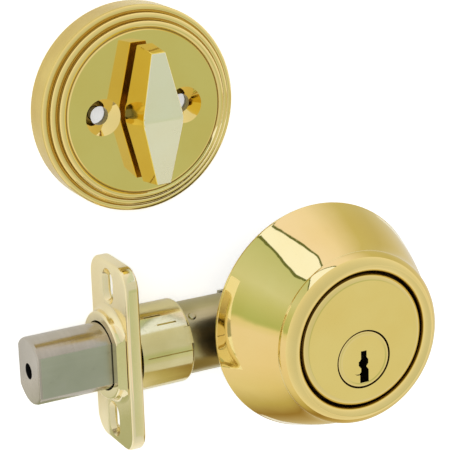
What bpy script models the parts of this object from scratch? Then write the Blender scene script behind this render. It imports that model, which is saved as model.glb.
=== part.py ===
"""Single-cylinder deadbolt door lock, laid out on a bench: the exterior cylinder and the latch are
together, as in the door, and the inside thumbturn unit lies beside them, face up.

Metres, +Z up. The bolt points along -X, the top of the door is towards +Y, and +Z is the outward
axis of the cylinder. The origin is on the bench, under the middle of the whole layout.
"""
import math

import bmesh
import bpy
from mathutils import Matrix

for old in list(bpy.data.objects):
    bpy.data.objects.remove(old, do_unlink=True)

MM = 0.001

# Driving dimensions
DOOR_THICKNESS = 35.0 * MM
BACKSET = 60.3 * MM              # plug axis to the front of the faceplate
THROW = 25.4 * MM
GAP = 0.3 * MM                   # between pieces that touch
RUNNING = 0.35 * MM              # between a turning or sliding piece and its hole
OVERRUN = 1.0 * MM               # how far a cutter runs past what it cuts

COLLAR_RADIUS = 34.9 * MM
COLLAR_HEIGHT = 27.5 * MM
BEAD_RADIUS = 4.5 * MM
BEAD_CENTRE_RADIUS = 21.7 * MM
CYLINDER_RISE = 5.7 * MM         # collar axis above the plug axis
FACE_RADIUS = 20.2 * MM
COLLAR_CLEARANCE = 0.7 * MM
HOUSING_RADIUS = 19.0 * MM

PLUG_RADIUS = 6.35 * MM
PLUG_HEAD_RADIUS = 8.55 * MM
PLUG_HEAD_LENGTH = 2.8 * MM
PIN_COUNT = 5
PIN_SPACING = 3.81 * MM
PIN_RADIUS = 1.2 * MM
CHAMBER_RADIUS = PIN_RADIUS + RUNNING
BOTTOM_PIN_LENGTHS = [10.2 * MM, 5.2 * MM, 6.4 * MM, 4.6 * MM, 5.8 * MM]
DRIVER_LENGTH = 4.5 * MM

BLADE_WIDTH = 6.6 * MM
BLADE_THICKNESS = 2.0 * MM
SCREW_SPACING = 26.0 * MM
POST_RADIUS = 3.2 * MM

FACEPLATE_LENGTH = 57.15 * MM
FACEPLATE_WIDTH = 25.4 * MM
FACEPLATE_THICKNESS = 4.4 * MM
FACEPLATE_CORNER = 6.35 * MM
SLOT_SPACING = 42.0 * MM
SLOT_LENGTH = 9.5 * MM
SLOT_WIDTH = 5.6 * MM

BOLT_RADIUS = 10.1 * MM
BOLT_FLAT = 8.0 * MM             # bolt axis to each flat
BOLT_LENGTH = 34.1 * MM
BOLT_NOSE = 0.9 * MM             # beyond the faceplate when drawn back
BOLT_BORE_RADIUS = 2.4 * MM
GUIDE_CLEARANCE = 0.45 * MM
GUIDE_WALL = 3.2 * MM
GUIDE_PROUD = 3.2 * MM
TUBE_WALL = 0.6 * MM
TUBE_END = 20.8 * MM             # rear of the tube, in front of the plug axis
SLEEVE_WALL = 1.35 * MM
SLEEVE_LENGTH = 17.0 * MM

HUB_RADIUS = 5.0 * MM
CRANK_RADIUS = THROW / math.sqrt(2.0)
CRANK_PIN_RADIUS = 1.9 * MM
FORK_CLEARANCE = 0.95 * MM
BAR_THICKNESS = 2.0 * MM
TAIL_PLATE_THICKNESS = 1.4 * MM
TAIL_HALF_GAP = 6.6 * MM

ROSE_RADIUS = 30.5 * MM
ROSE_HEIGHT = 11.8 * MM
ROSE_WALL = 1.6 * MM
DISC_RADIUS = 24.1 * MM
SCREW_HOLE_RADIUS = 2.75 * MM
COUNTERSINK_RADIUS = 5.4 * MM
TURN_LENGTH = 40.4 * MM
TURN_WIDTH = 15.0 * MM
TURN_GAP = 2.1 * MM
TURN_HEIGHT = 11.0 * MM
NECK_RADIUS = 4.1 * MM

# The bench layout
tube_inner = BOLT_RADIUS + RUNNING
tube_outer = tube_inner + TUBE_WALL
sleeve_inner = tube_outer + GAP
sleeve_outer = sleeve_inner + SLEEVE_WALL
BOLT_HEIGHT = max(FACEPLATE_WIDTH / 2, sleeve_outer)
COLLAR_BASE = BOLT_HEIGHT + DOOR_THICKNESS / 2
BOLT_TIP = -(BACKSET + BOLT_NOSE + THROW)
INSIDE_X = -45.5 * MM            # inside unit, from the plug axis
INSIDE_Y = 71.4 * MM
PLUG_X = (-BOLT_TIP - COLLAR_RADIUS) / 2
PLUG_Y = -(INSIDE_Y + ROSE_RADIUS + CYLINDER_RISE - COLLAR_RADIUS) / 2

parts = bpy.data.collections.new("deadbolt_door_lock")
cutters = bpy.data.collections.new("cutters")
bpy.context.scene.collection.children.link(parts)
bpy.context.scene.collection.children.link(cutters)


# Helpers

def finish(name, colour, roughness, metallic=1.0):
    """A metal, as a Principled BSDF material."""
    metal = bpy.data.materials.new(name)
    metal.use_nodes = True
    shader = metal.node_tree.nodes["Principled BSDF"]
    shader.inputs["Base Color"].default_value = (*colour, 1.0)
    shader.inputs["Roughness"].default_value = roughness
    shader.inputs["Metallic"].default_value = metallic
    return metal


def axis_empty(name, location):
    """An empty that a group of pieces is placed from."""
    empty = bpy.data.objects.new(name, None)
    empty.location = location
    parts.objects.link(empty)
    return empty


def place(obj, parent, location=(0, 0, 0), rotation=(0, 0, 0), material=None):
    """Puts a piece under its axis and gives it its own copy of a finish."""
    parts.objects.link(obj)
    obj.parent = parent
    obj.location = location
    obj.rotation_euler = rotation
    if material:
        own = material.copy()
        own.name = obj.name
        obj.data.materials.append(own)
    return obj


def as_cutter(obj):
    """Moves an object to the cutters, where it shapes others and isn't a piece."""
    parts.objects.unlink(obj)
    cutters.objects.link(obj)
    obj.hide_render = True
    obj.display_type = "WIRE"
    return obj


def boolean(target, tool, operation="DIFFERENCE"):
    """Cuts a tool from a piece, or joins it on."""
    modifier = target.modifiers.new(tool.name, "BOOLEAN")
    modifier.operation = operation
    modifier.object = tool
    modifier.solver = "EXACT"


def smooth(mesh, angle=35.0):
    mesh.shade_smooth()
    mesh.set_sharp_from_angle(angle=math.radians(angle))


def arc(centre, radius, start, end, count):
    """Points of an arc, both ends included, angles in degrees."""
    step = math.radians(end - start) / (count - 1)
    angles = [math.radians(start) + step * i for i in range(count)]
    return [(centre[0] + radius * math.cos(a), centre[1] + radius * math.sin(a)) for a in angles]


def turned(name, profile, parent, closed=False, steps=48, **where):
    """A turned piece: (radius, height) points down the outer side, spun round Z."""
    mesh = bpy.data.meshes.new(name)
    work = bmesh.new()
    points = [work.verts.new((r, 0, z)) for r, z in profile]
    pairs = list(zip(points, points[1:]))
    if closed:
        pairs.append((points[-1], points[0]))
    for a, b in pairs:
        work.edges.new((a, b))
    work.to_mesh(mesh)
    work.free()
    obj = bpy.data.objects.new(name, mesh)
    spin = obj.modifiers.new("turn", "SCREW")
    spin.axis = "Z"
    spin.angle = math.tau
    spin.steps = steps
    spin.render_steps = steps
    spin.use_merge_vertices = True
    spin.merge_threshold = 0.000001
    spin.use_smooth_shade = True
    return place(obj, parent, **where)


def ring(name, inner, outer, low, high, parent, **where):
    """A turned ring with a square section."""
    profile = [(outer, high), (outer, low), (inner, low), (inner, high)]
    return turned(name, profile, parent, closed=True, **where)


def rod(name, radius, low, high, parent, segments=24, end_radius=None, **where):
    """A round bar along its own Z, between two heights."""
    mesh = bpy.data.meshes.new(name)
    work = bmesh.new()
    top = radius if end_radius is None else end_radius
    middle = Matrix.Translation((0, 0, (low + high) / 2))
    bmesh.ops.create_cone(work, cap_ends=True, segments=segments, radius1=radius, radius2=top,
                          depth=high - low, matrix=middle)
    work.to_mesh(mesh)
    work.free()
    smooth(mesh)
    return place(bpy.data.objects.new(name, mesh), parent, **where)


def block(name, low, high, parent, **where):
    """A box between two corners."""
    mesh = bpy.data.meshes.new(name)
    work = bmesh.new()
    size = [b - a for a, b in zip(low, high)]
    centre = [(a + b) / 2 for a, b in zip(low, high)]
    bmesh.ops.create_cube(work, size=1.0, matrix=Matrix.Translation(centre) @ Matrix.Diagonal((*size, 1)))
    work.to_mesh(mesh)
    work.free()
    return place(bpy.data.objects.new(name, mesh), parent, **where)


def outline(name, loops, thickness, parent, **where):
    """A flat piece: closed outlines in its own XY, the first one outside, given a thickness."""
    curve = bpy.data.curves.new(name, "CURVE")
    curve.dimensions = "2D"
    curve.fill_mode = "BOTH"
    curve.extrude = thickness / 2
    for loop in loops:
        spline = curve.splines.new("POLY")
        spline.points.add(len(loop) - 1)
        for point, (x, y) in zip(spline.points, loop):
            point.co = (x, y, 0, 1)
        spline.use_cyclic_u = True
    drawn = bpy.data.objects.new(name + "_outline", curve)
    parts.objects.link(drawn)
    evaluated = drawn.evaluated_get(bpy.context.evaluated_depsgraph_get())
    mesh = bpy.data.meshes.new_from_object(evaluated)
    bpy.data.objects.remove(drawn, do_unlink=True)
    work = bmesh.new()
    work.from_mesh(mesh)
    bmesh.ops.remove_doubles(work, verts=work.verts, dist=0.000001)
    bmesh.ops.recalc_face_normals(work, faces=work.faces)
    work.to_mesh(mesh)
    work.free()
    mesh.name = name
    mesh.materials.clear()
    smooth(mesh)
    return place(bpy.data.objects.new(name, mesh), parent, **where)


def circle(centre, radius, count=20):
    return arc(centre, radius, 0, 360 * (count - 1) / count, count)


def rounded_rectangle(half_x, half_y, corner, count=7, centre=(0, 0)):
    """The outline of a rectangle with round corners."""
    cx, cy = centre
    dx, dy = half_x - corner, half_y - corner
    points = []
    for sx, sy, start in ((1, 1, 0), (-1, 1, 90), (-1, -1, 180), (1, -1, 270)):
        points += arc((cx + sx * dx, cy + sy * dy), corner, start, start + 90, count)
    return points


def slot_outline(half_x, half_y, centre_y, count=9):
    """The outline of a long hole with round ends."""
    run = half_y - half_x
    return (arc((0, centre_y + run), half_x, 0, 180, count)
            + arc((0, centre_y - run), half_x, 180, 360, count))


def flatted_circle(radius, flat, count=13):
    """A circle cut by two flats at +x and -x."""
    end = math.degrees(math.acos(flat / radius))
    return arc((0, 0), radius, end, 180 - end, count) + arc((0, 0), radius, 180 + end, 360 - end, count)


ALONG_X = (0, math.radians(-90), 0)        # turns a piece's own +Z to -X, and its own +X to +Z
ALONG_Y = (math.radians(-90), 0, 0)        # turns a piece's own +Z to +Y

polished = finish("polished_brass", (0.86, 0.66, 0.27), 0.08)
pale = finish("pale_brass", (0.87, 0.72, 0.42), 0.2)
cast = finish("cast_zinc", (0.55, 0.50, 0.36), 0.45)
steel = finish("bolt_steel", (0.55, 0.52, 0.47), 0.35)
grey = finish("plated_steel", (0.42, 0.37, 0.28), 0.4)
silver = finish("nickel_silver", (0.72, 0.70, 0.64), 0.25)

plug_axis = axis_empty("plug_axis", (PLUG_X, PLUG_Y, COLLAR_BASE))
collar_axis = axis_empty("collar_axis", (PLUG_X, PLUG_Y + CYLINDER_RISE, COLLAR_BASE))
crank_axis = axis_empty("crank_axis", (PLUG_X, PLUG_Y, BOLT_HEIGHT))
turn_axis = axis_empty("turn_axis", (PLUG_X + INSIDE_X, PLUG_Y + INSIDE_Y, 0))

# Exterior collar: a hollow cone with a rolled lip, turning freely round the cylinder
LIP = 1.0 * MM
LIP_NECK = 0.3 * MM              # the cone starts this far inside the lip
LIP_HEIGHT = 2.2 * MM
COLLAR_WALL = 2.0 * MM
CONE_BULGE = 0.35 * MM
BEAD_NECK = (0.1 * MM, 0.9 * MM)
LEDGE_DROP = 2.2 * MM            # bead centre to the ledge that the flange holds
collar_hole = FACE_RADIUS + COLLAR_CLEARANCE
bead_height = COLLAR_HEIGHT - BEAD_RADIUS
ledge_height = bead_height - LEDGE_DROP
cone_low = (COLLAR_RADIUS - LIP_NECK, LIP_HEIGHT)
cone_high = (BEAD_CENTRE_RADIUS + BEAD_RADIUS - BEAD_NECK[0], bead_height - BEAD_NECK[1])


def cone_point(t):
    """A point on the slightly swollen cone, from its top (0) to its lip (1)."""
    swell = CONE_BULGE * math.sin(math.pi * t)
    return tuple(a + (b - a) * t + swell for a, b in zip(cone_high, cone_low))


collar_profile = arc((BEAD_CENTRE_RADIUS, bead_height), BEAD_RADIUS, 96, -6, 8)
collar_profile += [cone_point(t / 4) for t in range(5)]
collar_profile += arc((COLLAR_RADIUS - LIP, LIP), LIP, 45, -90, 5)
collar_profile += [
    (COLLAR_RADIUS - COLLAR_WALL - LIP, 0),
    (cone_low[0] - COLLAR_WALL, cone_low[1]),
    (cone_high[0] - COLLAR_WALL, ledge_height),
    (collar_hole, ledge_height),
]
turned("exterior_collar", collar_profile, collar_axis, closed=True, steps=52, material=polished)

# Cylinder housing: a solid round body with a flange that keeps the collar on
FACE_DROP = 0.9 * MM              # below the top of the collar's bead
FACE_HEIGHT = COLLAR_HEIGHT - FACE_DROP
FACE_ROUNDING = 2.0 * MM
HOUSING_BACK = 0.8 * MM
FLANGE_RADIUS = 23.0 * MM
FLANGE_THICKNESS = 2.4 * MM
flange_top = ledge_height - 2 * GAP
housing_profile = [(0, FACE_HEIGHT)]
housing_profile += arc((FACE_RADIUS - FACE_ROUNDING, FACE_HEIGHT - FACE_ROUNDING), FACE_ROUNDING, 90, 0, 5)
housing_profile += [
    (FACE_RADIUS, flange_top),
    (FLANGE_RADIUS, flange_top),
    (FLANGE_RADIUS, flange_top - FLANGE_THICKNESS),
    (HOUSING_RADIUS, flange_top - FLANGE_THICKNESS),
    (HOUSING_RADIUS, HOUSING_BACK),
    (0, HOUSING_BACK),
]
housing = turned("cylinder_housing", housing_profile, collar_axis, material=polished)

# Hardened rods beside the plug, against a drill
GUARD_RADIUS = 1.2 * MM
GUARD_X = 11.0 * MM
GUARD_Y = 8.6 * MM
GUARD_SPAN = (7.0 * MM, 21.0 * MM)
for name, side in (("front", -1), ("rear", 1)):
    spot = (side * GUARD_X, GUARD_Y, 0)
    boolean(housing, as_cutter(rod(f"guard_bore_{name}", GUARD_RADIUS + RUNNING, HOUSING_BACK - OVERRUN,
                                   GUARD_SPAN[1] + GAP, plug_axis, 12, location=spot)))
    rod(f"drill_guard_{name}", GUARD_RADIUS, *GUARD_SPAN, plug_axis, 12, location=spot, material=steel)

# Mounting posts: staked in the housing, threaded for the inside unit's screws
POST_SEAT = 3.8 * MM
POST_THREAD_RADIUS = 1.9 * MM
POST_THREAD_DEPTH = 20.0 * MM
for name, side in (("front", -1), ("rear", 1)):
    spot = (side * SCREW_SPACING / 2, 0, 0)
    boolean(housing, as_cutter(rod(f"post_seat_{name}", POST_RADIUS + GAP, HOUSING_BACK - OVERRUN,
                                   POST_SEAT + GAP, plug_axis, 24, location=spot)))
    post = rod(f"mounting_post_{name}", POST_RADIUS, -COLLAR_BASE, POST_SEAT, plug_axis, 24,
               location=spot, material=cast)
    boolean(post, as_cutter(rod(f"post_thread_{name}", POST_THREAD_RADIUS, -COLLAR_BASE - OVERRUN,
                                -COLLAR_BASE + POST_THREAD_DEPTH, plug_axis, 16, location=spot)))

head_seat = FACE_HEIGHT - PLUG_HEAD_LENGTH - GAP
boolean(housing, as_cutter(rod("plug_bore", PLUG_RADIUS + RUNNING, HOUSING_BACK - OVERRUN, COLLAR_HEIGHT,
                               plug_axis, 32)))
boolean(housing, as_cutter(rod("head_recess", PLUG_HEAD_RADIUS + RUNNING, head_seat, COLLAR_HEIGHT + OVERRUN,
                               plug_axis, 40)))

# The pin stacks stand above the plug, from front to back
FIRST_PIN = 18.8 * MM
COVER_INNER = 22.5 * MM
COVER_THICKNESS = 1.5 * MM
COVER_HALF_WIDTH = 2.4 * MM
COVER_MARGIN = 0.3 * MM
pin_heights = [FIRST_PIN - PIN_SPACING * i for i in range(PIN_COUNT)]
shear_inside = PLUG_RADIUS - GAP
shear_outside = PLUG_RADIUS + RUNNING
slot_low = pin_heights[-1] - CHAMBER_RADIUS - COVER_MARGIN
slot_high = pin_heights[0] + CHAMBER_RADIUS + COVER_MARGIN
for i, height in enumerate(pin_heights):
    boolean(housing, as_cutter(rod(f"housing_chamber_{i + 1}", CHAMBER_RADIUS, shear_outside - 2 * OVERRUN,
                                   COVER_INNER + OVERRUN, plug_axis, 12, location=(0, 0, height),
                                   rotation=ALONG_Y)))
    rod(f"driver_pin_{i + 1}", PIN_RADIUS, shear_outside, shear_outside + DRIVER_LENGTH, plug_axis, 12,
        location=(0, 0, height), rotation=ALONG_Y, material=silver)
slot_outer = CYLINDER_RISE + FLANGE_RADIUS + OVERRUN
boolean(housing, as_cutter(block("cover_slot", (-COVER_HALF_WIDTH - GAP, COVER_INNER - GAP, slot_low - GAP),
                                 (COVER_HALF_WIDTH + GAP, slot_outer, slot_high + GAP), plug_axis)))
block("pin_cover", (-COVER_HALF_WIDTH, COVER_INNER, slot_low),
      (COVER_HALF_WIDTH, COVER_INNER + COVER_THICKNESS, slot_high), plug_axis, material=pale)

# A spring behind each driver pin
SPRING_WIRE = 0.2 * MM
SPRING_RADIUS = PIN_RADIUS - SPRING_WIRE
SPRING_TURNS = 4
POINTS_A_TURN = 6
spring_low = shear_outside + DRIVER_LENGTH + GAP + SPRING_WIRE
spring_high = COVER_INNER - GAP - SPRING_WIRE
for i, height in enumerate(pin_heights):
    coil = bpy.data.curves.new(f"pin_spring_{i + 1}", "CURVE")
    coil.dimensions = "3D"
    coil.bevel_depth = SPRING_WIRE
    coil.bevel_resolution = 2
    coil.use_fill_caps = True
    spline = coil.splines.new("POLY")
    count = SPRING_TURNS * POINTS_A_TURN + 1
    spline.points.add(count - 1)
    for k, point in enumerate(spline.points):
        angle = math.tau * k / POINTS_A_TURN
        rise = spring_low + (spring_high - spring_low) * k / (count - 1)
        point.co = (SPRING_RADIUS * math.cos(angle), SPRING_RADIUS * math.sin(angle), rise, 1)
    place(bpy.data.objects.new(coil.name, coil), plug_axis, (0, 0, height), ALONG_Y, silver)

# Plug: a headed brass rod with the keyway, the lower pin chambers and a slot for the blade
PLUG_PROUD = 0.1 * MM
PLUG_FACE = FACE_HEIGHT + PLUG_PROUD
PLUG_EDGE = 0.6 * MM
PLUG_SHOULDER = PLUG_FACE - PLUG_HEAD_LENGTH
TAIL_RADIUS = 5.0 * MM
TAIL_TOP = 0.4 * MM
TAIL_END = -2.4 * MM
BLADE_SLOT_TOP = 2.0 * MM
RETAINER_RADIUS = 8.2 * MM
plug_profile = [
    (0, PLUG_FACE),
    (PLUG_HEAD_RADIUS - PLUG_EDGE, PLUG_FACE),
    (PLUG_HEAD_RADIUS, PLUG_FACE - PLUG_EDGE),
    (PLUG_HEAD_RADIUS, PLUG_SHOULDER),
    (PLUG_RADIUS, PLUG_SHOULDER),
    (PLUG_RADIUS, TAIL_TOP),
    (TAIL_RADIUS, TAIL_TOP),
    (TAIL_RADIUS, TAIL_END),
    (0, TAIL_END),
]
plug = turned("cylinder_plug", plug_profile, plug_axis, steps=36, material=polished)
keyway = [(-0.75, 2.4), (-0.75, 0.2), (-1.3, -0.5), (-1.3, -1.9), (-0.5, -2.9), (-0.5, -3.9),
          (-1.1, -4.6), (-1.1, -7.0), (1.3, -7.0), (1.3, -3.5), (0.5, -2.3), (1.2, -1.4),
          (1.2, -0.2), (0.75, 0.5), (0.75, 2.4)]
keyway = [(x * MM, y * MM) for x, y in keyway]
KEYWAY_END = 2.6 * MM
PIN_TIP = 0.8 * MM
PIN_TIP_RADIUS = 0.5 * MM
keyway_length = PLUG_FACE + OVERRUN - KEYWAY_END
boolean(plug, as_cutter(outline("keyway", [keyway], keyway_length, plug_axis,
                                location=(0, 0, KEYWAY_END + keyway_length / 2))))
for i, (height, length) in enumerate(zip(pin_heights, BOTTOM_PIN_LENGTHS)):
    boolean(plug, as_cutter(rod(f"plug_chamber_{i + 1}", CHAMBER_RADIUS, shear_inside - length - GAP,
                                PLUG_RADIUS + OVERRUN, plug_axis, 12, location=(0, 0, height),
                                rotation=ALONG_Y)))
    pin_low = shear_inside - length
    pin_profile = [(0, shear_inside), (PIN_RADIUS, shear_inside), (PIN_RADIUS, pin_low + PIN_TIP),
                   (PIN_TIP_RADIUS, pin_low), (0, pin_low)]
    turned(f"bottom_pin_{i + 1}", pin_profile, plug_axis, steps=12, location=(0, 0, height),
           rotation=ALONG_Y, material=silver)
boolean(plug, as_cutter(block("blade_slot",
                              (-BLADE_THICKNESS / 2 - GAP, -BLADE_WIDTH / 2 - GAP, TAIL_END - OVERRUN),
                              (BLADE_THICKNESS / 2 + GAP, BLADE_WIDTH / 2 + GAP, BLADE_SLOT_TOP), plug_axis)))
ring("plug_retainer", TAIL_RADIUS + GAP, RETAINER_RADIUS, TAIL_END + GAP, TAIL_TOP - GAP, plug_axis, steps=32,
     material=cast)

# Torque blade: flat bar from the plug through the crank
BLADE_END = 1.0 * MM             # above the bench
block("torque_blade", (-BLADE_THICKNESS / 2, -BLADE_WIDTH / 2, BLADE_END - COLLAR_BASE),
      (BLADE_THICKNESS / 2, BLADE_WIDTH / 2, BLADE_SLOT_TOP - GAP), plug_axis, material=steel)

# Bolt guide: the boss that stands out of the faceplate round the bolt
faceplate_back = -BACKSET + FACEPLATE_THICKNESS
guide_front = -BACKSET - GUIDE_PROUD
guide_radius = BOLT_RADIUS + GUIDE_WALL
guide_flat = BOLT_FLAT + GUIDE_WALL


def along_bolt(name, loops, front, back, **where):
    """A piece with a flat outline across the bolt, from one place on the bolt's axis to another."""
    middle = (front + back) / 2
    return outline(name, loops, back - front, crank_axis, location=(middle, 0, 0), rotation=ALONG_X, **where)


along_bolt("bolt_guide", [flatted_circle(guide_radius, guide_flat),
                          flatted_circle(BOLT_RADIUS + GUIDE_CLEARANCE, BOLT_FLAT + GUIDE_CLEARANCE)],
           guide_front, faceplate_back, material=pale)

# Faceplate: its screw slots are countersunk from the front, and a pocket behind each leaves a thin web
SLOT_SINK = 1.3 * MM
SLOT_SINK_DEPTH = 1.5 * MM
POCKET_RIM = 2.0 * MM
POCKET_DEPTH = 2.2 * MM
pocket_start = guide_radius + GAP + POCKET_RIM
pocket_end = FACEPLATE_LENGTH / 2 - POCKET_RIM
faceplate_loops = [rounded_rectangle(FACEPLATE_WIDTH / 2, FACEPLATE_LENGTH / 2, FACEPLATE_CORNER),
                   flatted_circle(guide_radius + GAP, guide_flat + GAP)]
for side in (-1, 1):
    faceplate_loops.append(slot_outline(SLOT_WIDTH / 2, SLOT_LENGTH / 2, side * SLOT_SPACING / 2))
faceplate = along_bolt("faceplate", faceplate_loops, -BACKSET, faceplate_back, material=pale)
for side in (-1, 1):
    sink = slot_outline(SLOT_WIDTH / 2 + SLOT_SINK, SLOT_LENGTH / 2 + SLOT_SINK, side * SLOT_SPACING / 2)
    boolean(faceplate, as_cutter(along_bolt(f"slot_sink_{side}", [sink], -BACKSET - OVERRUN,
                                            -BACKSET + SLOT_SINK_DEPTH)))
    pocket = rounded_rectangle(FACEPLATE_WIDTH / 2 - POCKET_RIM, (pocket_end - pocket_start) / 2,
                               FACEPLATE_CORNER - POCKET_RIM, centre=(0, side * (pocket_start + pocket_end) / 2))
    boolean(faceplate, as_cutter(along_bolt(f"back_pocket_{side}", [pocket], faceplate_back - POCKET_DEPTH,
                                            faceplate_back + OVERRUN)))

# Latch tube and the sleeve over its front end
tube_front = faceplate_back + GAP
SHOULDER = 1.2 * MM
sleeve_back = tube_front + SLEEVE_LENGTH
sleeve_profile = [(sleeve_outer, -tube_front)]
sleeve_profile += arc((sleeve_outer - SHOULDER, -sleeve_back + SHOULDER), SHOULDER, 0, -75, 4)
sleeve_profile += [(sleeve_inner, -sleeve_back), (sleeve_inner, -tube_front)]
turned("latch_sleeve", sleeve_profile, crank_axis, closed=True, rotation=ALONG_X, material=pale)
ring("latch_tube", tube_inner, tube_outer, TUBE_END, -tube_front, crank_axis, steps=48,
     rotation=ALONG_X, material=grey)

# Bolt: a steel rod with two flats, bored for a hardened pin, slotted at the rear for its bar
BOLT_CHAMFER = 0.8 * MM
BORE_DEPTH = 25.0 * MM
BORE_OPEN = 12.0 * MM            # the hardened pin starts this far in
bolt_back = BOLT_TIP + BOLT_LENGTH
bolt = turned("bolt", [(0, -BOLT_TIP), (BOLT_RADIUS - BOLT_CHAMFER, -BOLT_TIP),
                       (BOLT_RADIUS, -BOLT_TIP - BOLT_CHAMFER), (BOLT_RADIUS, -bolt_back), (0, -bolt_back)],
              crank_axis, rotation=ALONG_X, material=steel)
for side in (-1, 1):
    low, high = sorted((side * BOLT_FLAT, side * (BOLT_RADIUS + OVERRUN)))
    boolean(bolt, as_cutter(block(f"bolt_flat_{side}", (BOLT_TIP - OVERRUN, -BOLT_RADIUS - OVERRUN, low),
                                  (bolt_back + OVERRUN, BOLT_RADIUS + OVERRUN, high), crank_axis)))
boolean(bolt, as_cutter(rod("bolt_bore", BOLT_BORE_RADIUS, -BOLT_TIP - BORE_DEPTH, -BOLT_TIP + OVERRUN,
                            crank_axis, 24, rotation=ALONG_X)))
rod("bolt_hardened_pin", BOLT_BORE_RADIUS - RUNNING, -BOLT_TIP - BORE_DEPTH + GAP, -BOLT_TIP - BORE_OPEN,
    crank_axis, 16, rotation=ALONG_X, material=silver)

# Drive bar: a flat bar along the bottom of the tube, forked at its rear round the crank pin
BAR_TOP = -5.5 * MM
BAR_BOTTOM = -9.2 * MM
FORK_WALL = 2.2 * MM
FORK_END = -19.4 * MM
BAR_HOLD = 7.0 * MM              # how far the bar reaches into the bolt
RIVET_RADIUS = 1.2 * MM
bar_front = bolt_back - BAR_HOLD
fork_x = -CRANK_RADIUS * math.sin(math.radians(45))
fork_half = CRANK_PIN_RADIUS + FORK_CLEARANCE

rivet_spot = (bar_front + BAR_HOLD / 2, (BAR_TOP + BAR_BOTTOM) / 2)
bar_loop = [(bar_front, BAR_TOP), (bar_front, BAR_BOTTOM), (fork_x - fork_half - FORK_WALL, BAR_BOTTOM),
            (fork_x - fork_half - FORK_WALL, FORK_END), (fork_x - fork_half, FORK_END)]
bar_loop += arc((fork_x, fork_x), fork_half, 180, 0, 9)
bar_loop += [(fork_x + fork_half, FORK_END), (fork_x + fork_half + FORK_WALL, FORK_END),
             (fork_x + fork_half + FORK_WALL, BAR_TOP)]
outline("bolt_drive_bar", [bar_loop, circle(rivet_spot, RIVET_RADIUS + GAP, 12)], BAR_THICKNESS, crank_axis,
        material=grey)
boolean(bolt, as_cutter(block("bar_slot",
                              (bar_front - GAP, -BOLT_RADIUS - OVERRUN, -BAR_THICKNESS / 2 - GAP),
                              (bolt_back + OVERRUN, BAR_TOP + GAP, BAR_THICKNESS / 2 + GAP), crank_axis)))
rivet_hole_end = BOLT_FLAT + OVERRUN
boolean(bolt, as_cutter(rod("rivet_hole", RIVET_RADIUS + GAP, -rivet_hole_end, rivet_hole_end, crank_axis, 12,
                            location=(*rivet_spot, 0))))
RIVET_HALF_LENGTH = 5.4 * MM
rod("bolt_rivet", RIVET_RADIUS, -RIVET_HALF_LENGTH, RIVET_HALF_LENGTH, crank_axis, 12,
    location=(*rivet_spot, 0), material=grey)

# Tail plates: they carry the crank, and their tongues sit in the tube
TAIL_HALF_HEIGHT = 9.6 * MM
TAIL_REAR = 22.5 * MM
TONGUE_LENGTH = 5.5 * MM
TONGUE_HALF_HEIGHT = 5.8 * MM
SPACER_SPOT = (19.0 * MM, 5.6 * MM)
SPACER_RADIUS = 1.2 * MM
tail_front = -TUBE_END + GAP
tongue_front = tail_front - TONGUE_LENGTH
tail_loop = [(tongue_front, TONGUE_HALF_HEIGHT), (tongue_front, -TONGUE_HALF_HEIGHT),
             (tail_front, -TONGUE_HALF_HEIGHT), (tail_front, -TAIL_HALF_HEIGHT)]
tail_corner = 3.0 * MM
tail_loop += arc((TAIL_REAR - tail_corner, -TAIL_HALF_HEIGHT + tail_corner), tail_corner, -90, 0, 4)
tail_loop += arc((TAIL_REAR - tail_corner, TAIL_HALF_HEIGHT - tail_corner), tail_corner, 0, 90, 4)
tail_loop += [(tail_front, TAIL_HALF_HEIGHT), (tail_front, TONGUE_HALF_HEIGHT)]
tail_holes = [circle((0, 0), HUB_RADIUS + RUNNING), circle((-SCREW_SPACING / 2, 0), POST_RADIUS + RUNNING),
              circle((SCREW_SPACING / 2, 0), POST_RADIUS + RUNNING),
              circle(SPACER_SPOT, SPACER_RADIUS + GAP, 12)]
plate_middle = TAIL_HALF_GAP + TAIL_PLATE_THICKNESS / 2
for name, side in (("outer", 1), ("inner", -1)):
    outline(f"tail_plate_{name}", [tail_loop] + tail_holes, TAIL_PLATE_THICKNESS, crank_axis,
            location=(0, 0, side * plate_middle), material=grey)
spacer_end = TAIL_HALF_GAP + TAIL_PLATE_THICKNESS + GAP
spacer_step = TAIL_HALF_GAP - GAP
turned("tail_spacer", [(0, spacer_end), (SPACER_RADIUS, spacer_end), (SPACER_RADIUS, spacer_step),
                       (2 * SPACER_RADIUS, spacer_step), (2 * SPACER_RADIUS, -spacer_step),
                       (SPACER_RADIUS, -spacer_step), (SPACER_RADIUS, -spacer_end), (0, -spacer_end)],
       crank_axis, steps=12, location=(*SPACER_SPOT, 0), material=grey)

# Drive crank: a slotted hub with an arm, turned by the blade
CRANK_PIN_PROUD = 0.5 * MM
ARM_LOW = BAR_THICKNESS / 2 + CRANK_PIN_PROUD
ARM_THICKNESS = 2.1 * MM
ARM_HALF_WIDTH = 3.3 * MM
HUB_HALF_LENGTH = 8.3 * MM
THROWN_ANGLE = math.radians(225)
pin_spot = (CRANK_RADIUS * math.cos(THROWN_ANGLE), CRANK_RADIUS * math.sin(THROWN_ANGLE))
crank = rod("drive_crank", HUB_RADIUS, -HUB_HALF_LENGTH, HUB_HALF_LENGTH, crank_axis, 24, material=cast)
arm_loop = arc((0, 0), ARM_HALF_WIDTH, 135 - 180, 135, 7) + arc(pin_spot, ARM_HALF_WIDTH, 135, 315, 9)
arm = as_cutter(outline("crank_arm", [arm_loop, circle(pin_spot, CRANK_PIN_RADIUS + GAP, 16)], ARM_THICKNESS,
                        crank_axis, location=(0, 0, ARM_LOW + ARM_THICKNESS / 2)))
boolean(crank, arm, "UNION")
hub_slot_x = BLADE_THICKNESS / 2 + RUNNING
hub_slot_y = BLADE_WIDTH / 2 + RUNNING
hub_slot_end = HUB_HALF_LENGTH + OVERRUN
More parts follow.
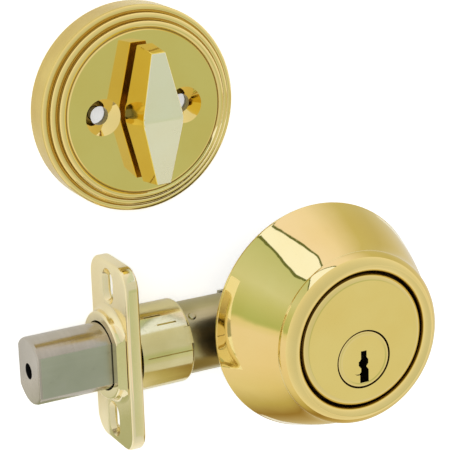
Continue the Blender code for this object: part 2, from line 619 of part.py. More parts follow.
boolean(crank, as_cutter(block("hub_slot", (-hub_slot_x, -hub_slot_y, -hub_slot_end),
                               (hub_slot_x, hub_slot_y, hub_slot_end), crank_axis)))
rod("crank_pin", CRANK_PIN_RADIUS, -ARM_LOW, ARM_LOW + ARM_THICKNESS + CRANK_PIN_PROUD, crank_axis, 16,
    location=(*pin_spot, 0), material=steel)

# Inside rose: a formed shell with three stepped beads round its flat disc
BEAD_COUNT = 3
BEAD_DROP = 0.9 * MM             # disc to the centre of the first bead
STEP_DROP = 1.6 * MM             # bead to bead
DISC_EDGE = (0.4 * MM, 0.5 * MM)
ROSE_FOOT = (0.4 * MM, 0.6 * MM)
ROOF_BEND = 1.5 * MM
NECK_CLEARANCE = 0.4 * MM
bead_width = (ROSE_RADIUS - DISC_RADIUS) / BEAD_COUNT
rose_hole = NECK_RADIUS + NECK_CLEARANCE
rose_profile = [(rose_hole, ROSE_HEIGHT), (DISC_RADIUS - DISC_EDGE[0], ROSE_HEIGHT),
                (DISC_RADIUS, ROSE_HEIGHT - DISC_EDGE[1])]
for i in range(BEAD_COUNT):
    bead_centre = (DISC_RADIUS + bead_width * (i + 0.5), ROSE_HEIGHT - BEAD_DROP - STEP_DROP * i)
    last = i == BEAD_COUNT - 1
    rose_profile += arc(bead_centre, bead_width / 2, 140, 0 if last else -20, 5)
rose_profile += [(ROSE_RADIUS, ROSE_FOOT[1]), (ROSE_RADIUS - ROSE_FOOT[0], 0)]
skirt_inner = ROSE_RADIUS - ROSE_WALL
skirt_roof = ROSE_HEIGHT - BEAD_DROP - STEP_DROP * (BEAD_COUNT - 1) - bead_width / 4 - ROSE_WALL
rose_profile += [(skirt_inner, 0), (skirt_inner, skirt_roof),
                 (DISC_RADIUS, ROSE_HEIGHT - BEAD_DROP - ROSE_WALL),
                 (DISC_RADIUS - ROOF_BEND, ROSE_HEIGHT - ROSE_WALL), (rose_hole, ROSE_HEIGHT - ROSE_WALL)]
rose = turned("inside_rose", rose_profile, turn_axis, closed=True, steps=48, material=polished)

# The disc is dished down round each screw hole
BOSS_RADIUS = 6.2 * MM
BOSS_DEPTH = 4.6 * MM
SINK_DEPTH = 2.9 * MM
SINK_INSIDE = 0.1 * MM           # the countersink's small end is this far inside the hole
boss_low = ROSE_HEIGHT - BOSS_DEPTH
for side in (-1, 1):
    spot = (side * SCREW_SPACING / 2, 0, 0)
    boolean(rose, as_cutter(rod(f"rose_boss_{side}", BOSS_RADIUS, boss_low, ROSE_HEIGHT - ROSE_WALL / 2,
                                turn_axis, 24, location=spot)), "UNION")
    boolean(rose, as_cutter(rod(f"rose_hole_{side}", SCREW_HOLE_RADIUS, boss_low - OVERRUN,
                                ROSE_HEIGHT + OVERRUN, turn_axis, 20, location=spot)))
    sink_slope = (COUNTERSINK_RADIUS - SCREW_HOLE_RADIUS) / SINK_DEPTH
    boolean(rose, as_cutter(rod(f"rose_sink_{side}", SCREW_HOLE_RADIUS - SINK_INSIDE,
                                ROSE_HEIGHT - SINK_DEPTH, ROSE_HEIGHT + OVERRUN, turn_axis, 24,
                                location=spot, end_radius=COUNTERSINK_RADIUS + sink_slope * OVERRUN)))

# Mounting plate under the rose, with the spindle through its middle
PLATE_THICKNESS = 1.2 * MM
PLATE_RADIUS = 26.0 * MM
SPINDLE_RADIUS = 5.0 * MM
SPINDLE_LOW = 0.3 * MM
SPINDLE_HIGH = 9.8 * MM
SOCKET_DEPTH = 5.6 * MM
NECK_SEAT = 6.6 * MM
WASHER_THICKNESS = 0.7 * MM
WASHER_RADIUS = 8.6 * MM
CLIP_THICKNESS = 1.0 * MM
CLIP_RADIUS = 7.4 * MM
plate_top = boss_low - GAP
plate_low = plate_top - PLATE_THICKNESS
outline("mounting_plate",
        [circle((0, 0), PLATE_RADIUS, 32), circle((0, 0), SPINDLE_RADIUS + RUNNING, 20),
         circle((-SCREW_SPACING / 2, 0), SCREW_HOLE_RADIUS + GAP, 16),
         circle((SCREW_SPACING / 2, 0), SCREW_HOLE_RADIUS + GAP, 16)],
        PLATE_THICKNESS, turn_axis, location=(0, 0, plate_top - PLATE_THICKNESS / 2), material=grey)
spindle = rod("thumbturn_spindle", SPINDLE_RADIUS, SPINDLE_LOW, SPINDLE_HIGH, turn_axis, 24, material=steel)
boolean(spindle, as_cutter(rod("neck_bore", NECK_RADIUS + GAP, NECK_SEAT, SPINDLE_HIGH + OVERRUN, turn_axis,
                               24)))
boolean(spindle, as_cutter(block("spindle_slot",
                                 (-BLADE_THICKNESS / 2 - RUNNING, -BLADE_WIDTH / 2 - RUNNING,
                                  SPINDLE_LOW - OVERRUN),
                                 (BLADE_THICKNESS / 2 + RUNNING, BLADE_WIDTH / 2 + RUNNING,
                                  SPINDLE_LOW + SOCKET_DEPTH), turn_axis)))
washer_top = plate_low - GAP
clip_top = washer_top - WASHER_THICKNESS - GAP
ring("spring_washer", SPINDLE_RADIUS + GAP, WASHER_RADIUS, washer_top - WASHER_THICKNESS, washer_top,
     turn_axis, steps=24, material=silver)
ring("retaining_clip", SPINDLE_RADIUS + GAP, CLIP_RADIUS, clip_top - CLIP_THICKNESS, clip_top, turn_axis,
     steps=24, material=steel)

# Thumbturn: a lozenge blade with a crowned front, on a round neck
TURN_DRAFT = 1.0 * MM
TURN_TIP = 5.0 * MM
TURN_BEVEL = 0.8 * MM
CROWN = 1.6 * MM
NECK_OVERLAP = 2.0 * MM
turn_low = ROSE_HEIGHT + TURN_GAP


def lozenge(half_length, half_width, half_tip, crown, height):
    """One level of the blade: its tips are square, its waist is eased, and its front is crowned."""
    ease = 0.08 * half_length
    quarter = [(half_tip, half_length), (half_width, ease)]
    right = quarter + [(x, -y) for x, y in reversed(quarter)]
    loop = right + [(-x, -y) for x, y in right]
    return [(x, y, height + crown * (1 - abs(y) / half_length)) for x, y in loop]


half_length, half_width, half_tip = TURN_LENGTH / 2, TURN_WIDTH / 2, TURN_TIP / 2
side_top = turn_low + TURN_HEIGHT - CROWN
edge = TURN_DRAFT + TURN_BEVEL
levels = [lozenge(half_length, half_width, half_tip, 0, turn_low),
          lozenge(half_length - TURN_DRAFT, half_width - TURN_DRAFT, half_tip - TURN_DRAFT / 2, CROWN / 2,
                  side_top - TURN_BEVEL),
          lozenge(half_length - edge, half_width - edge, half_tip - TURN_DRAFT / 2 - TURN_BEVEL, CROWN,
                  side_top)]
work = bmesh.new()
rings = [[work.verts.new(p) for p in level] for level in levels]
for lower, upper in zip(rings, rings[1:]):
    for i in range(len(lower)):
        k = (i + 1) % len(lower)
        work.faces.new((lower[i], lower[k], upper[k], upper[i]))
work.faces.new(rings[0][::-1])
bmesh.ops.triangulate(work, faces=[work.faces.new(rings[-1])])
bmesh.ops.recalc_face_normals(work, faces=work.faces)
turn_mesh = bpy.data.meshes.new("thumbturn")
work.to_mesh(turn_mesh)
work.free()
thumbturn = place(bpy.data.objects.new("thumbturn", turn_mesh), turn_axis, material=polished)
boolean(thumbturn, as_cutter(rod("turn_neck", NECK_RADIUS, NECK_SEAT + GAP, turn_low + NECK_OVERLAP,
                                 turn_axis, 24)), "UNION")
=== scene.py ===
"""The looks of a polished-brass deadbolt lock: cylinder and latch together, the inside unit beside them."""

import math

import bpy
from mathutils import Matrix, Vector


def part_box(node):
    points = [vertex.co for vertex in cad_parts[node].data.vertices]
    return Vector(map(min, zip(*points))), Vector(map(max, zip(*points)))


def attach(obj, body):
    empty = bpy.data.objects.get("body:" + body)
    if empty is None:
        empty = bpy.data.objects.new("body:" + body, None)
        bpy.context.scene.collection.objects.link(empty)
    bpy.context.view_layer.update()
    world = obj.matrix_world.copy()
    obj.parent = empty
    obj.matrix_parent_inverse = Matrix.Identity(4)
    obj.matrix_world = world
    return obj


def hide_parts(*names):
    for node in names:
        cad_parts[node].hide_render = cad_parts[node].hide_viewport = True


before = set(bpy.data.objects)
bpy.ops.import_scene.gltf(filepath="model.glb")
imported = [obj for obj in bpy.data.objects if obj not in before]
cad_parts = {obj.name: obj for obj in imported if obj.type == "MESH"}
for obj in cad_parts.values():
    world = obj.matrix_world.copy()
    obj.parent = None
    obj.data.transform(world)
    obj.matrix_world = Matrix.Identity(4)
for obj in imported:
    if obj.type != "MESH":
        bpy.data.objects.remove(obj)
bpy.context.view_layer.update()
MM = 0.001


# The studio: a pale bench top, a soft white dome, and wide cloths that the polished brass mirrors.
# The camera looks down from the bolt's side with a long lens.
def node(tree, kind, inputs=None, **settings):
    """A shader node with its settings, and each input linked or set."""
    made = tree.nodes.new("ShaderNode" + kind)
    for label, value in settings.items():
        setattr(made, label, value)
    for label, value in (inputs or {}).items():
        if isinstance(value, bpy.types.NodeSocket):
            tree.links.new(value, made.inputs[label])
        else:
            made.inputs[label].default_value = value
    return made


def ramp(tree, factor, stops):
    """A colour ramp with (position, grey or colour) stops."""
    made = node(tree, "ValToRGB", {"Fac": factor})
    elements = made.color_ramp.elements
    while len(elements) < len(stops):
        elements.new(0.5)
    for element, (position, colour) in zip(elements, stops):
        element.position = position
        element.color = (*colour, 1.0) if isinstance(colour, tuple) else (colour, colour, colour, 1.0)
    return made.outputs["Color"]


CAMERA_RIGHT = Vector((0.883, -0.032, 0.468))
CAMERA_BACK = Vector((-0.437, 0.304, 0.847)).normalized()
CAMERA_SPOT = Vector((-0.24655, 0.17135, 0.4999))
camera_up = CAMERA_BACK.cross(CAMERA_RIGHT).normalized()
turn = Matrix((camera_up.cross(CAMERA_BACK), camera_up, CAMERA_BACK)).transposed().to_4x4()
camera = bpy.data.objects.new("camera", bpy.data.cameras.new("camera"))
camera.data.lens = 153.8
camera.data.sensor_width = 36.0
camera.data.clip_start = 0.01
camera.matrix_world = Matrix.Translation(CAMERA_SPOT) @ turn
bpy.context.scene.collection.objects.link(camera)
bpy.context.scene.camera = camera
bpy.context.scene.view_settings.view_transform = "Standard"

# Each cloth: the direction it hangs in, the cosines where it starts and is full, and its colour
CLOTHS = [
    ((0.40, -0.24, 0.89), 0.965, 0.993, (0.54, 0.60, 0.42)),
    ((0.49, -0.37, 0.79), 0.990, 0.998, (0.74, 0.74, 0.60)),
]
world = bpy.data.worlds.new("studio")
world.use_nodes = True
bpy.context.scene.world = world
sky = world.node_tree
sky.nodes.clear()
direction = node(sky, "TexCoord").outputs["Generated"]
height = node(sky, "SeparateXYZ", {"Vector": direction}).outputs["Z"]
height = node(sky, "MapRange", {"Value": height, "From Min": -1.0, "From Max": 1.0}).outputs["Result"]
dome = ramp(sky, height, [(0.0, (0.95, 0.88, 0.84)), (0.46, (0.98, 0.90, 0.86)), (0.56, (0.90, 0.88, 0.86)),
                          (0.75, (0.78, 0.78, 0.76)), (1.0, (0.66, 0.68, 0.66))])
for toward, start, full, colour in CLOTHS:
    facing = node(sky, "VectorMath", {0: direction, 1: Vector(toward).normalized()}, operation="DOT_PRODUCT")
    mask = node(sky, "MapRange", {"Value": facing.outputs["Value"], "From Min": start, "From Max": full},
                interpolation_type="SMOOTHSTEP").outputs["Result"]
    dome = node(sky, "MixRGB", {"Fac": mask, "Color1": dome, "Color2": (*colour, 1.0)}).outputs["Color"]
background = node(sky, "Background", {"Color": dome, "Strength": 1.0})
node(sky, "OutputWorld", {"Surface": background.outputs["Background"]})

KEY_SPOT = Vector((-0.9, 0.7, 1.5))
key = bpy.data.objects.new("key_light", bpy.data.lights.new("key_light", "AREA"))
key.data.size = 0.9
key.data.energy = 9.0
key.location = KEY_SPOT
key.rotation_euler = KEY_SPOT.to_track_quat("Z", "Y").to_euler()
key.visible_glossy = False
bpy.context.scene.collection.objects.link(key)

BENCH_SIZE = 6.0
BENCH_DROP = 0.1 * MM
LOOKED_AT = 0.55
MIRRORED = 0.12
bpy.ops.object.select_all(action="DESELECT")
bpy.ops.mesh.primitive_plane_add(size=BENCH_SIZE, location=(0, 0, -BENCH_DROP))
floor = bpy.context.object
floor.name = "bench_top"
bench = bpy.data.materials.new("bench_top")
bench.use_nodes = True
tree = bench.node_tree
speckle = node(tree, "TexNoise", {"Vector": node(tree, "TexCoord").outputs["Object"], "Scale": 30.0})
tree.links.new(ramp(tree, speckle.outputs["Fac"], [(0.3, 0.90), (0.7, 0.92)]),
               tree.nodes["Principled BSDF"].inputs["Base Color"])
tree.nodes["Principled BSDF"].inputs["Roughness"].default_value = 0.9
# the bench is a light table: what is looked at straight glows white, what is mirrored stays soft
glow = node(tree, "MapRange", {"Value": node(tree, "LightPath").outputs["Is Camera Ray"],
                               "To Min": MIRRORED, "To Max": LOOKED_AT})
tree.nodes["Principled BSDF"].inputs["Emission Color"].default_value = (1.0, 1.0, 1.0, 1.0)
tree.links.new(glow.outputs["Result"], tree.nodes["Principled BSDF"].inputs["Emission Strength"])
floor.data.materials.append(bench)

# A curtain of glowing colour stands round the cylinder, where only the polished cone can mirror it: the
# camera doesn't see it and it lights nothing, so its colours are painted reflections.
# Each stop: the angle round the collar in degrees, and the painted reflection's colour there
REFLECTION_COLOURS = [
    (-179, (0.88, 0.81, 0.82)), (-155, (0.87, 0.79, 0.74)), (-135, (0.78, 0.72, 0.54)),
    (-118, (0.54, 0.47, 0.21)), (-104, (0.33, 0.22, 0.06)), (-80, (0.62, 0.52, 0.30)),
    (-45, (0.75, 0.72, 0.58)), (5, (0.76, 0.72, 0.66)), (45, (0.60, 0.56, 0.35)), (62, (0.63, 0.59, 0.36)),
    (86, (0.95, 0.89, 1.02)), (106, (1.00, 0.94, 1.22)), (116, (0.54, 0.65, 0.50)),
    (146, (0.69, 0.77, 0.72)), (157, (0.60, 0.68, 0.48)), (171, (0.48, 0.58, 0.32)),
    (174, (0.80, 0.77, 0.64)), (180, (0.88, 0.81, 0.82)),
]
# A bright glowing band on it, a painted highlight, is wider at its top, and its two edges are dark bands of
# painted shade. Its foot and its head are each a height over the bench and half a width, as a share of the
# way round
SHEET_MIDDLE = 113.3 / 360 + 0.5
SHEET_FOOT = (26 * MM, 5.2 / 360)
SHEET_HEAD = (42 * MM, 9.6 / 360)
SHEET_EDGE = 2.0 / 360
PAINTED_HIGHLIGHT_COLOUR = (1.08, 1.20, 1.80)
PAINTED_SHADE_COLOUR = (0.15, 0.19, 0.08)
CURTAIN_RADIUS = 62 * MM
CURTAIN_TOP = 62 * MM
LIFT_OVER_LATCH = 26.5 * MM
LIFT_OVER_ROSE = 13 * MM
LATCH_FROM = 149
ROSE_FROM = 99
CRUMPLE = 4.0 * MM
low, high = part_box("exterior_collar")
curtain_axis = Vector(((low.x + high.x) / 2, (low.y + high.y) / 2, 0))
bpy.ops.object.select_all(action="DESELECT")
bpy.ops.mesh.primitive_cylinder_add(vertices=180, radius=CURTAIN_RADIUS, depth=CURTAIN_TOP,
                                    end_fill_type="NOTHING",
                                    location=curtain_axis + Vector((0, 0, CURTAIN_TOP / 2)))
curtain = bpy.context.object
curtain.name = "painted_reflection_curtain"
for corner in curtain.data.vertices:
    # it is cut short where the latch and the inside unit stand under it
    around = math.degrees(math.atan2(corner.co.y, corner.co.x))
    if corner.co.z < 0 and abs(around) > LATCH_FROM:
        corner.co.z += LIFT_OVER_LATCH
    elif corner.co.z < 0 and around > ROSE_FROM:
        corner.co.z += LIFT_OVER_ROSE
curtain.visible_camera = curtain.visible_diffuse = curtain.visible_shadow = False
reflection_glow = bpy.data.materials.new("coloured_painted_reflection")
reflection_glow.use_nodes = True
tree = reflection_glow.node_tree
tree.nodes.clear()
spot = node(tree, "TexCoord").outputs["Object"]
crumple = node(tree, "TexNoise", {"Vector": spot, "Scale": 110.0, "Detail": 2.0})
crumple = node(tree, "VectorMath", {0: crumple.outputs["Color"], 1: (0.5, 0.5, 0.5)}, operation="SUBTRACT")
crumple = node(tree, "VectorMath", {0: crumple.outputs["Vector"], "Scale": CRUMPLE}, operation="SCALE")
spot = node(tree, "VectorMath", {0: spot, 1: crumple.outputs["Vector"]}, operation="ADD").outputs["Vector"]
around = node(tree, "TexGradient", {"Vector": spot}, gradient_type="RADIAL").outputs["Fac"]
shade = ramp(tree, around, [(angle / 360 + 0.5, colour) for angle, colour in REFLECTION_COLOURS])
rise = node(tree, "SeparateXYZ", {"Vector": spot}).outputs["Z"]
half = node(tree, "MapRange", {"Value": rise, "From Min": SHEET_FOOT[0] - CURTAIN_TOP / 2,
                               "From Max": SHEET_HEAD[0] - CURTAIN_TOP / 2, "To Min": SHEET_FOOT[1],
                               "To Max": SHEET_HEAD[1]}, clamp=False).outputs["Result"]
aside = node(tree, "Math", {0: around, 1: SHEET_MIDDLE}, operation="SUBTRACT").outputs["Value"]
aside = node(tree, "Math", {0: aside}, operation="ABSOLUTE").outputs["Value"]
aside = node(tree, "Math", {0: aside, 1: half}, operation="SUBTRACT").outputs["Value"]
# the band's dark edges are painted shade and the band itself a painted highlight, seen only in the cone's
# reflections
for width, colour in ((SHEET_EDGE, PAINTED_SHADE_COLOUR), (0.0, PAINTED_HIGHLIGHT_COLOUR)):
    inside = node(tree, "MapRange", {"Value": aside, "From Min": width + 0.3 * SHEET_EDGE, "From Max": width},
                  interpolation_type="SMOOTHSTEP").outputs["Result"]
    shade = node(tree, "MixRGB", {"Fac": inside, "Color1": shade, "Color2": (*colour, 1)}).outputs["Color"]
# it glows with these painted colours on the side towards the collar, and from behind it is as good as not
# there
lit = node(tree, "Emission", {"Color": shade}).outputs["Emission"]
clear = node(tree, "BsdfTransparent").outputs["BSDF"]
inner_side = node(tree, "NewGeometry").outputs["Backfacing"]
two_sided = node(tree, "MixShader", {"Fac": inner_side, 1: clear, 2: lit}).outputs["Shader"]
node(tree, "OutputMaterial", {"Surface": two_sided})
curtain.data.materials.append(reflection_glow)

# A glowing olive card lies on the bench in front of the latch, where the faceplate's lower half mirrors it:
# the camera doesn't see it, so its colour is a painted reflection
OLIVE_SPOT = (-0.064, -0.066, 0.0002)
OLIVE_SIZE = (0.052, 0.044, 0)
bpy.ops.object.select_all(action="DESELECT")
bpy.ops.mesh.primitive_plane_add(size=1.0, location=OLIVE_SPOT)
olive = bpy.context.object
olive.name = "olive_painted_reflection"
olive.dimensions = OLIVE_SIZE
olive.visible_camera = olive.visible_diffuse = olive.visible_shadow = False
reflection_glow = bpy.data.materials.new("olive_painted_reflection")
reflection_glow.use_nodes = True
tree = reflection_glow.node_tree
tree.nodes.clear()
along = node(tree, "SeparateXYZ", {"Vector": node(tree, "TexCoord").outputs["Object"]}).outputs["Y"]
along = node(tree, "MapRange", {"Value": along, "From Min": -0.5, "From Max": 0.5}).outputs["Result"]
shade = ramp(tree, along,
             [(0.0, (0.40, 0.42, 0.24)), (0.55, (0.48, 0.50, 0.32)), (1.0, (0.90, 0.88, 0.82))])
lit = node(tree, "Emission", {"Color": shade})
node(tree, "OutputMaterial", {"Surface": lit.outputs["Emission"]})
olive.data.materials.append(reflection_glow)


# Exterior collar: a hollow brass cone that turns freely, so that a wrench can't grip it. It is spun
# from thick sheet, its lip is rolled, its front is drawn over into a round bead, and it is polished
# to a mirror and lacquered.
DOUBLES = 0.0000005


def select_where(obj, test, kind="VERT"):
    """Selects the vertices, edges or faces whose corners all pass a test, in edit mode."""
    bpy.ops.mesh.select_mode(type="VERT")
    bpy.ops.mesh.select_all(action="DESELECT")
    bpy.ops.mesh.select_mode(type=kind)
    bpy.ops.object.mode_set(mode="OBJECT")
    mesh = obj.data
    place = obj.matrix_world
    for item in {"VERT": mesh.vertices, "EDGE": mesh.edges, "FACE": mesh.polygons}[kind]:
        corners = [item.co] if kind == "VERT" else [mesh.vertices[v].co for v in item.vertices]
        item.select = all(test(place @ corner) for corner in corners)
    bpy.ops.object.mode_set(mode="EDIT")


def apply_modifier(obj, kind, **settings):
    """Adds a modifier and applies it."""
    bpy.ops.object.select_all(action="DESELECT")
    bpy.context.view_layer.objects.active = obj
    obj.select_set(True)
    modifier = obj.modifiers.new(kind.lower(), kind)
    for label, value in settings.items():
        setattr(modifier, label, value)
    bpy.ops.object.modifier_apply(modifier=modifier.name)


def combine(obj, tool, operation="DIFFERENCE"):
    """Cuts a tool out of a piece, or joins it on, and throws the tool away."""
    apply_modifier(obj, "BOOLEAN", object=tool, operation=operation, solver="EXACT")
    bpy.data.objects.remove(tool)


def settle(obj):
    """Puts a piece's place and turn into its mesh."""
    bpy.ops.object.select_all(action="DESELECT")
    bpy.context.view_layer.objects.active = obj
    obj.select_set(True)
    bpy.ops.object.transform_apply(location=True, rotation=True, scale=True)


def done(obj, bevel=0.0, segments=2, bevel_angle=30.0, angle=35.0):
    """Merges doubles, turns the faces out, eases the sharp edges and shades by angle."""
    settle(obj)
    bpy.ops.object.mode_set(mode="EDIT")
    bpy.ops.mesh.select_all(action="SELECT")
    bpy.ops.mesh.remove_doubles(threshold=DOUBLES)
    bpy.ops.mesh.normals_make_consistent(inside=False)
    bpy.ops.object.mode_set(mode="OBJECT")
    if bevel:
        apply_modifier(obj, "BEVEL", width=bevel, segments=segments, limit_method="ANGLE",
                       angle_limit=math.radians(bevel_angle), use_clamp_overlap=True)
    bpy.ops.object.shade_smooth_by_angle(angle=math.radians(angle))
    apply_modifier(obj, "WEIGHTED_NORMAL", keep_sharp=True)
    return obj


def arc(centre, radius, start, end, count):
    """Points of an arc, both ends included, angles in degrees."""
    angles = [math.radians(start + (end - start) * i / (count - 1)) for i in range(count)]
    return [(centre[0] + radius * math.cos(a), centre[1] + radius * math.sin(a)) for a in angles]


def turned(name, profile, centre=(0, 0, 0), steps=160, ring=False):
    """A ring or disc on a +Z axis, drawn out and resized through (radius, height) points."""
    bpy.ops.object.select_all(action="DESELECT")
    radius, height = profile[0]
    bpy.ops.mesh.primitive_circle_add(vertices=steps, radius=radius,
                                      fill_type="NOTHING" if ring else "NGON",
                                      location=(centre[0], centre[1], centre[2] + height))
    obj = bpy.context.object
    obj.name = name
    bpy.ops.object.mode_set(mode="EDIT")
    bpy.ops.mesh.select_mode(type="VERT")
    bpy.ops.mesh.select_all(action="SELECT")
    for new_radius, new_height in profile[1:] + ([profile[0]] if ring else []):
        bpy.ops.mesh.extrude_region_move(TRANSFORM_OT_translate={"value": (0, 0, new_height - height)})
        grow = new_radius / radius
        bpy.ops.transform.resize(value=(grow, grow, 1), center_override=(centre[0], centre[1], 0))
        radius, height = new_radius, new_height
    bpy.ops.mesh.select_all(action="SELECT")
    bpy.ops.mesh.remove_doubles(threshold=DOUBLES)
    bpy.ops.mesh.normals_make_consistent(inside=False)
    bpy.ops.object.mode_set(mode="OBJECT")
    settle(obj)
    return obj


def drill(radius, low, high, centre, axis="Z", steps=48):
    """A round cutter along an axis, between two places on it."""
    turns = {"X": (0, math.radians(90), 0), "Y": (math.radians(90), 0, 0), "Z": (0, 0, 0)}
    middle = Vector(centre)
    middle["XYZ".index(axis)] = (low + high) / 2
    bpy.ops.object.select_all(action="DESELECT")
    bpy.ops.mesh.primitive_cylinder_add(vertices=steps, radius=radius, depth=high - low, location=middle,
                                        rotation=turns[axis])
    settle(bpy.context.object)
    return bpy.context.object


def box(low, high):
    """A square-cornered block between two corners."""
    bpy.ops.object.select_all(action="DESELECT")
    middle = (Vector(low) + Vector(high)) / 2
    bpy.ops.mesh.primitive_cube_add(size=1.0, location=middle, scale=Vector(high) - Vector(low))
    settle(bpy.context.object)
    return bpy.context.object


def new_group(name, inputs, outputs):
    """An empty node group, with its input and output sockets."""
    tree = bpy.data.node_groups.new(name, "ShaderNodeTree")
    for label, kind, value in inputs:
        socket = tree.interface.new_socket(name=label, in_out="INPUT", socket_type="NodeSocket" + kind)
        if value is not None:
            socket.default_value = value
    for label, kind in outputs:
        tree.interface.new_socket(name=label, in_out="OUTPUT", socket_type="NodeSocket" + kind)
    return tree, tree.nodes.new("NodeGroupInput").outputs, tree.nodes.new("NodeGroupOutput").inputs


# Handling: a soft haze and finger marks that dull a polish here and there
handling, given, result = new_group("handling", [("Vector", "Vector", None), ("Size", "Float", 60.0)],
                                    [("Haze", "Float"), ("Marks", "Float")])
cloud = node(handling, "TexNoise", {"Vector": given["Vector"], "Scale": given["Size"], "Detail": 3.0})
fine_size = node(handling, "Math", {0: given["Size"], 1: 9.0}, operation="MULTIPLY").outputs["Value"]
smear = node(handling, "TexNoise", {"Vector": given["Vector"], "Scale": fine_size, "Detail": 4.0,
                                    "Distortion": 1.2})
haze = node(handling, "MapRange", {"Value": cloud.outputs["Fac"], "From Min": 0.35, "From Max": 0.7})
marks = node(handling, "MapRange", {"Value": smear.outputs["Fac"], "From Min": 0.52, "From Max": 0.72})
both = node(handling, "Math", {0: haze.outputs["Result"], 1: marks.outputs["Result"]}, operation="MULTIPLY")
handling.links.new(haze.outputs["Result"], result["Haze"])
handling.links.new(both.outputs["Value"], result["Marks"])

# Grain: fine streaks along one axis, from drawing, brushing or turning
grain, given, result = new_group("grain", [("Vector", "Vector", None), ("Size", "Float", 900.0)],
                                 [("Streak", "Float"), ("Height", "Float")])
streak = node(grain, "TexNoise", {"Vector": given["Vector"], "Scale": given["Size"], "Detail": 5.0,
                                  "Roughness": 0.65})
fine = node(grain, "MapRange", {"Value": streak.outputs["Fac"], "From Min": 0.3, "From Max": 0.7})
grain.links.new(fine.outputs["Result"], result["Streak"])
grain.links.new(streak.outputs["Fac"], result["Height"])

# Tarnish: stains that gather in patches
tarnish, given, result = new_group("tarnish", [("Vector", "Vector", None), ("Size", "Float", 120.0),
                                               ("Amount", "Float", 0.5)], [("Stain", "Float")])
patch = node(tarnish, "TexNoise", {"Vector": given["Vector"], "Scale": given["Size"], "Detail": 6.0,
                                   "Roughness": 0.7})
edge = node(tarnish, "Math", {0: 0.78, 1: given["Amount"]}, operation="SUBTRACT").outputs["Value"]
stain = node(tarnish, "MapRange", {"Value": patch.outputs["Fac"], "From Min": edge, "From Max": 0.85},
             interpolation_type="SMOOTHSTEP")
tarnish.links.new(stain.outputs["Result"], result["Stain"])

# Grooves: the polishing compound and shade left in a ring at one distance from the axis
grooves, given, result = new_group("grooves", [("Vector", "Vector", None), ("Radius", "Float", 0.02),
                                               ("Width", "Float", 0.0003)], [("Mask", "Float")])
flat = node(grooves, "VectorMath", {0: given["Vector"], 1: (1, 1, 0)}, operation="MULTIPLY").outputs["Vector"]
out = node(grooves, "VectorMath", {0: flat}, operation="LENGTH").outputs["Value"]
away = node(grooves, "Math", {0: out, 1: given["Radius"]}, operation="SUBTRACT").outputs["Value"]
away = node(grooves, "Math", {0: away}, operation="ABSOLUTE").outputs["Value"]
ring = node(grooves, "MapRange", {"Value": away, "From Min": given["Width"], "From Max": 0.0},
            interpolation_type="SMOOTHSTEP").outputs["Result"]
grooves.links.new(ring, result["Mask"])

# Spin: the coordinates of a turned piece, so that a pattern on them runs round its axis
spin, given, result = new_group("spin", [("Vector", "Vector", None)], [("Vector", "Vector")])
flat = node(spin, "VectorMath", {0: given["Vector"], 1: (1, 1, 0)}, operation="MULTIPLY").outputs["Vector"]
out = node(spin, "VectorMath", {0: flat}, operation="LENGTH").outputs["Value"]
rise = node(spin, "SeparateXYZ", {"Vector": given["Vector"]}).outputs["Z"]
turn_angle = node(spin, "TexGradient", {"Vector": given["Vector"]}, gradient_type="RADIAL").outputs["Fac"]
drift = node(spin, "Math", {0: turn_angle, 1: 0.004}, operation="MULTIPLY").outputs["Value"]
spun = node(spin, "CombineXYZ", {"X": out, "Y": drift, "Z": rise}).outputs["Vector"]
spin.links.new(spun, result["Vector"])


def placed(tree, centre=(0, 0, 0), stretch=(1, 1, 1)):
    """Object coordinates from a centre, squeezed or stretched along each axis."""
    spot = [-c * s for c, s in zip(centre, stretch)]
    return node(tree, "Mapping", {"Vector": node(tree, "TexCoord").outputs["Object"], "Location": spot,
                                  "Scale": stretch}).outputs["Vector"]


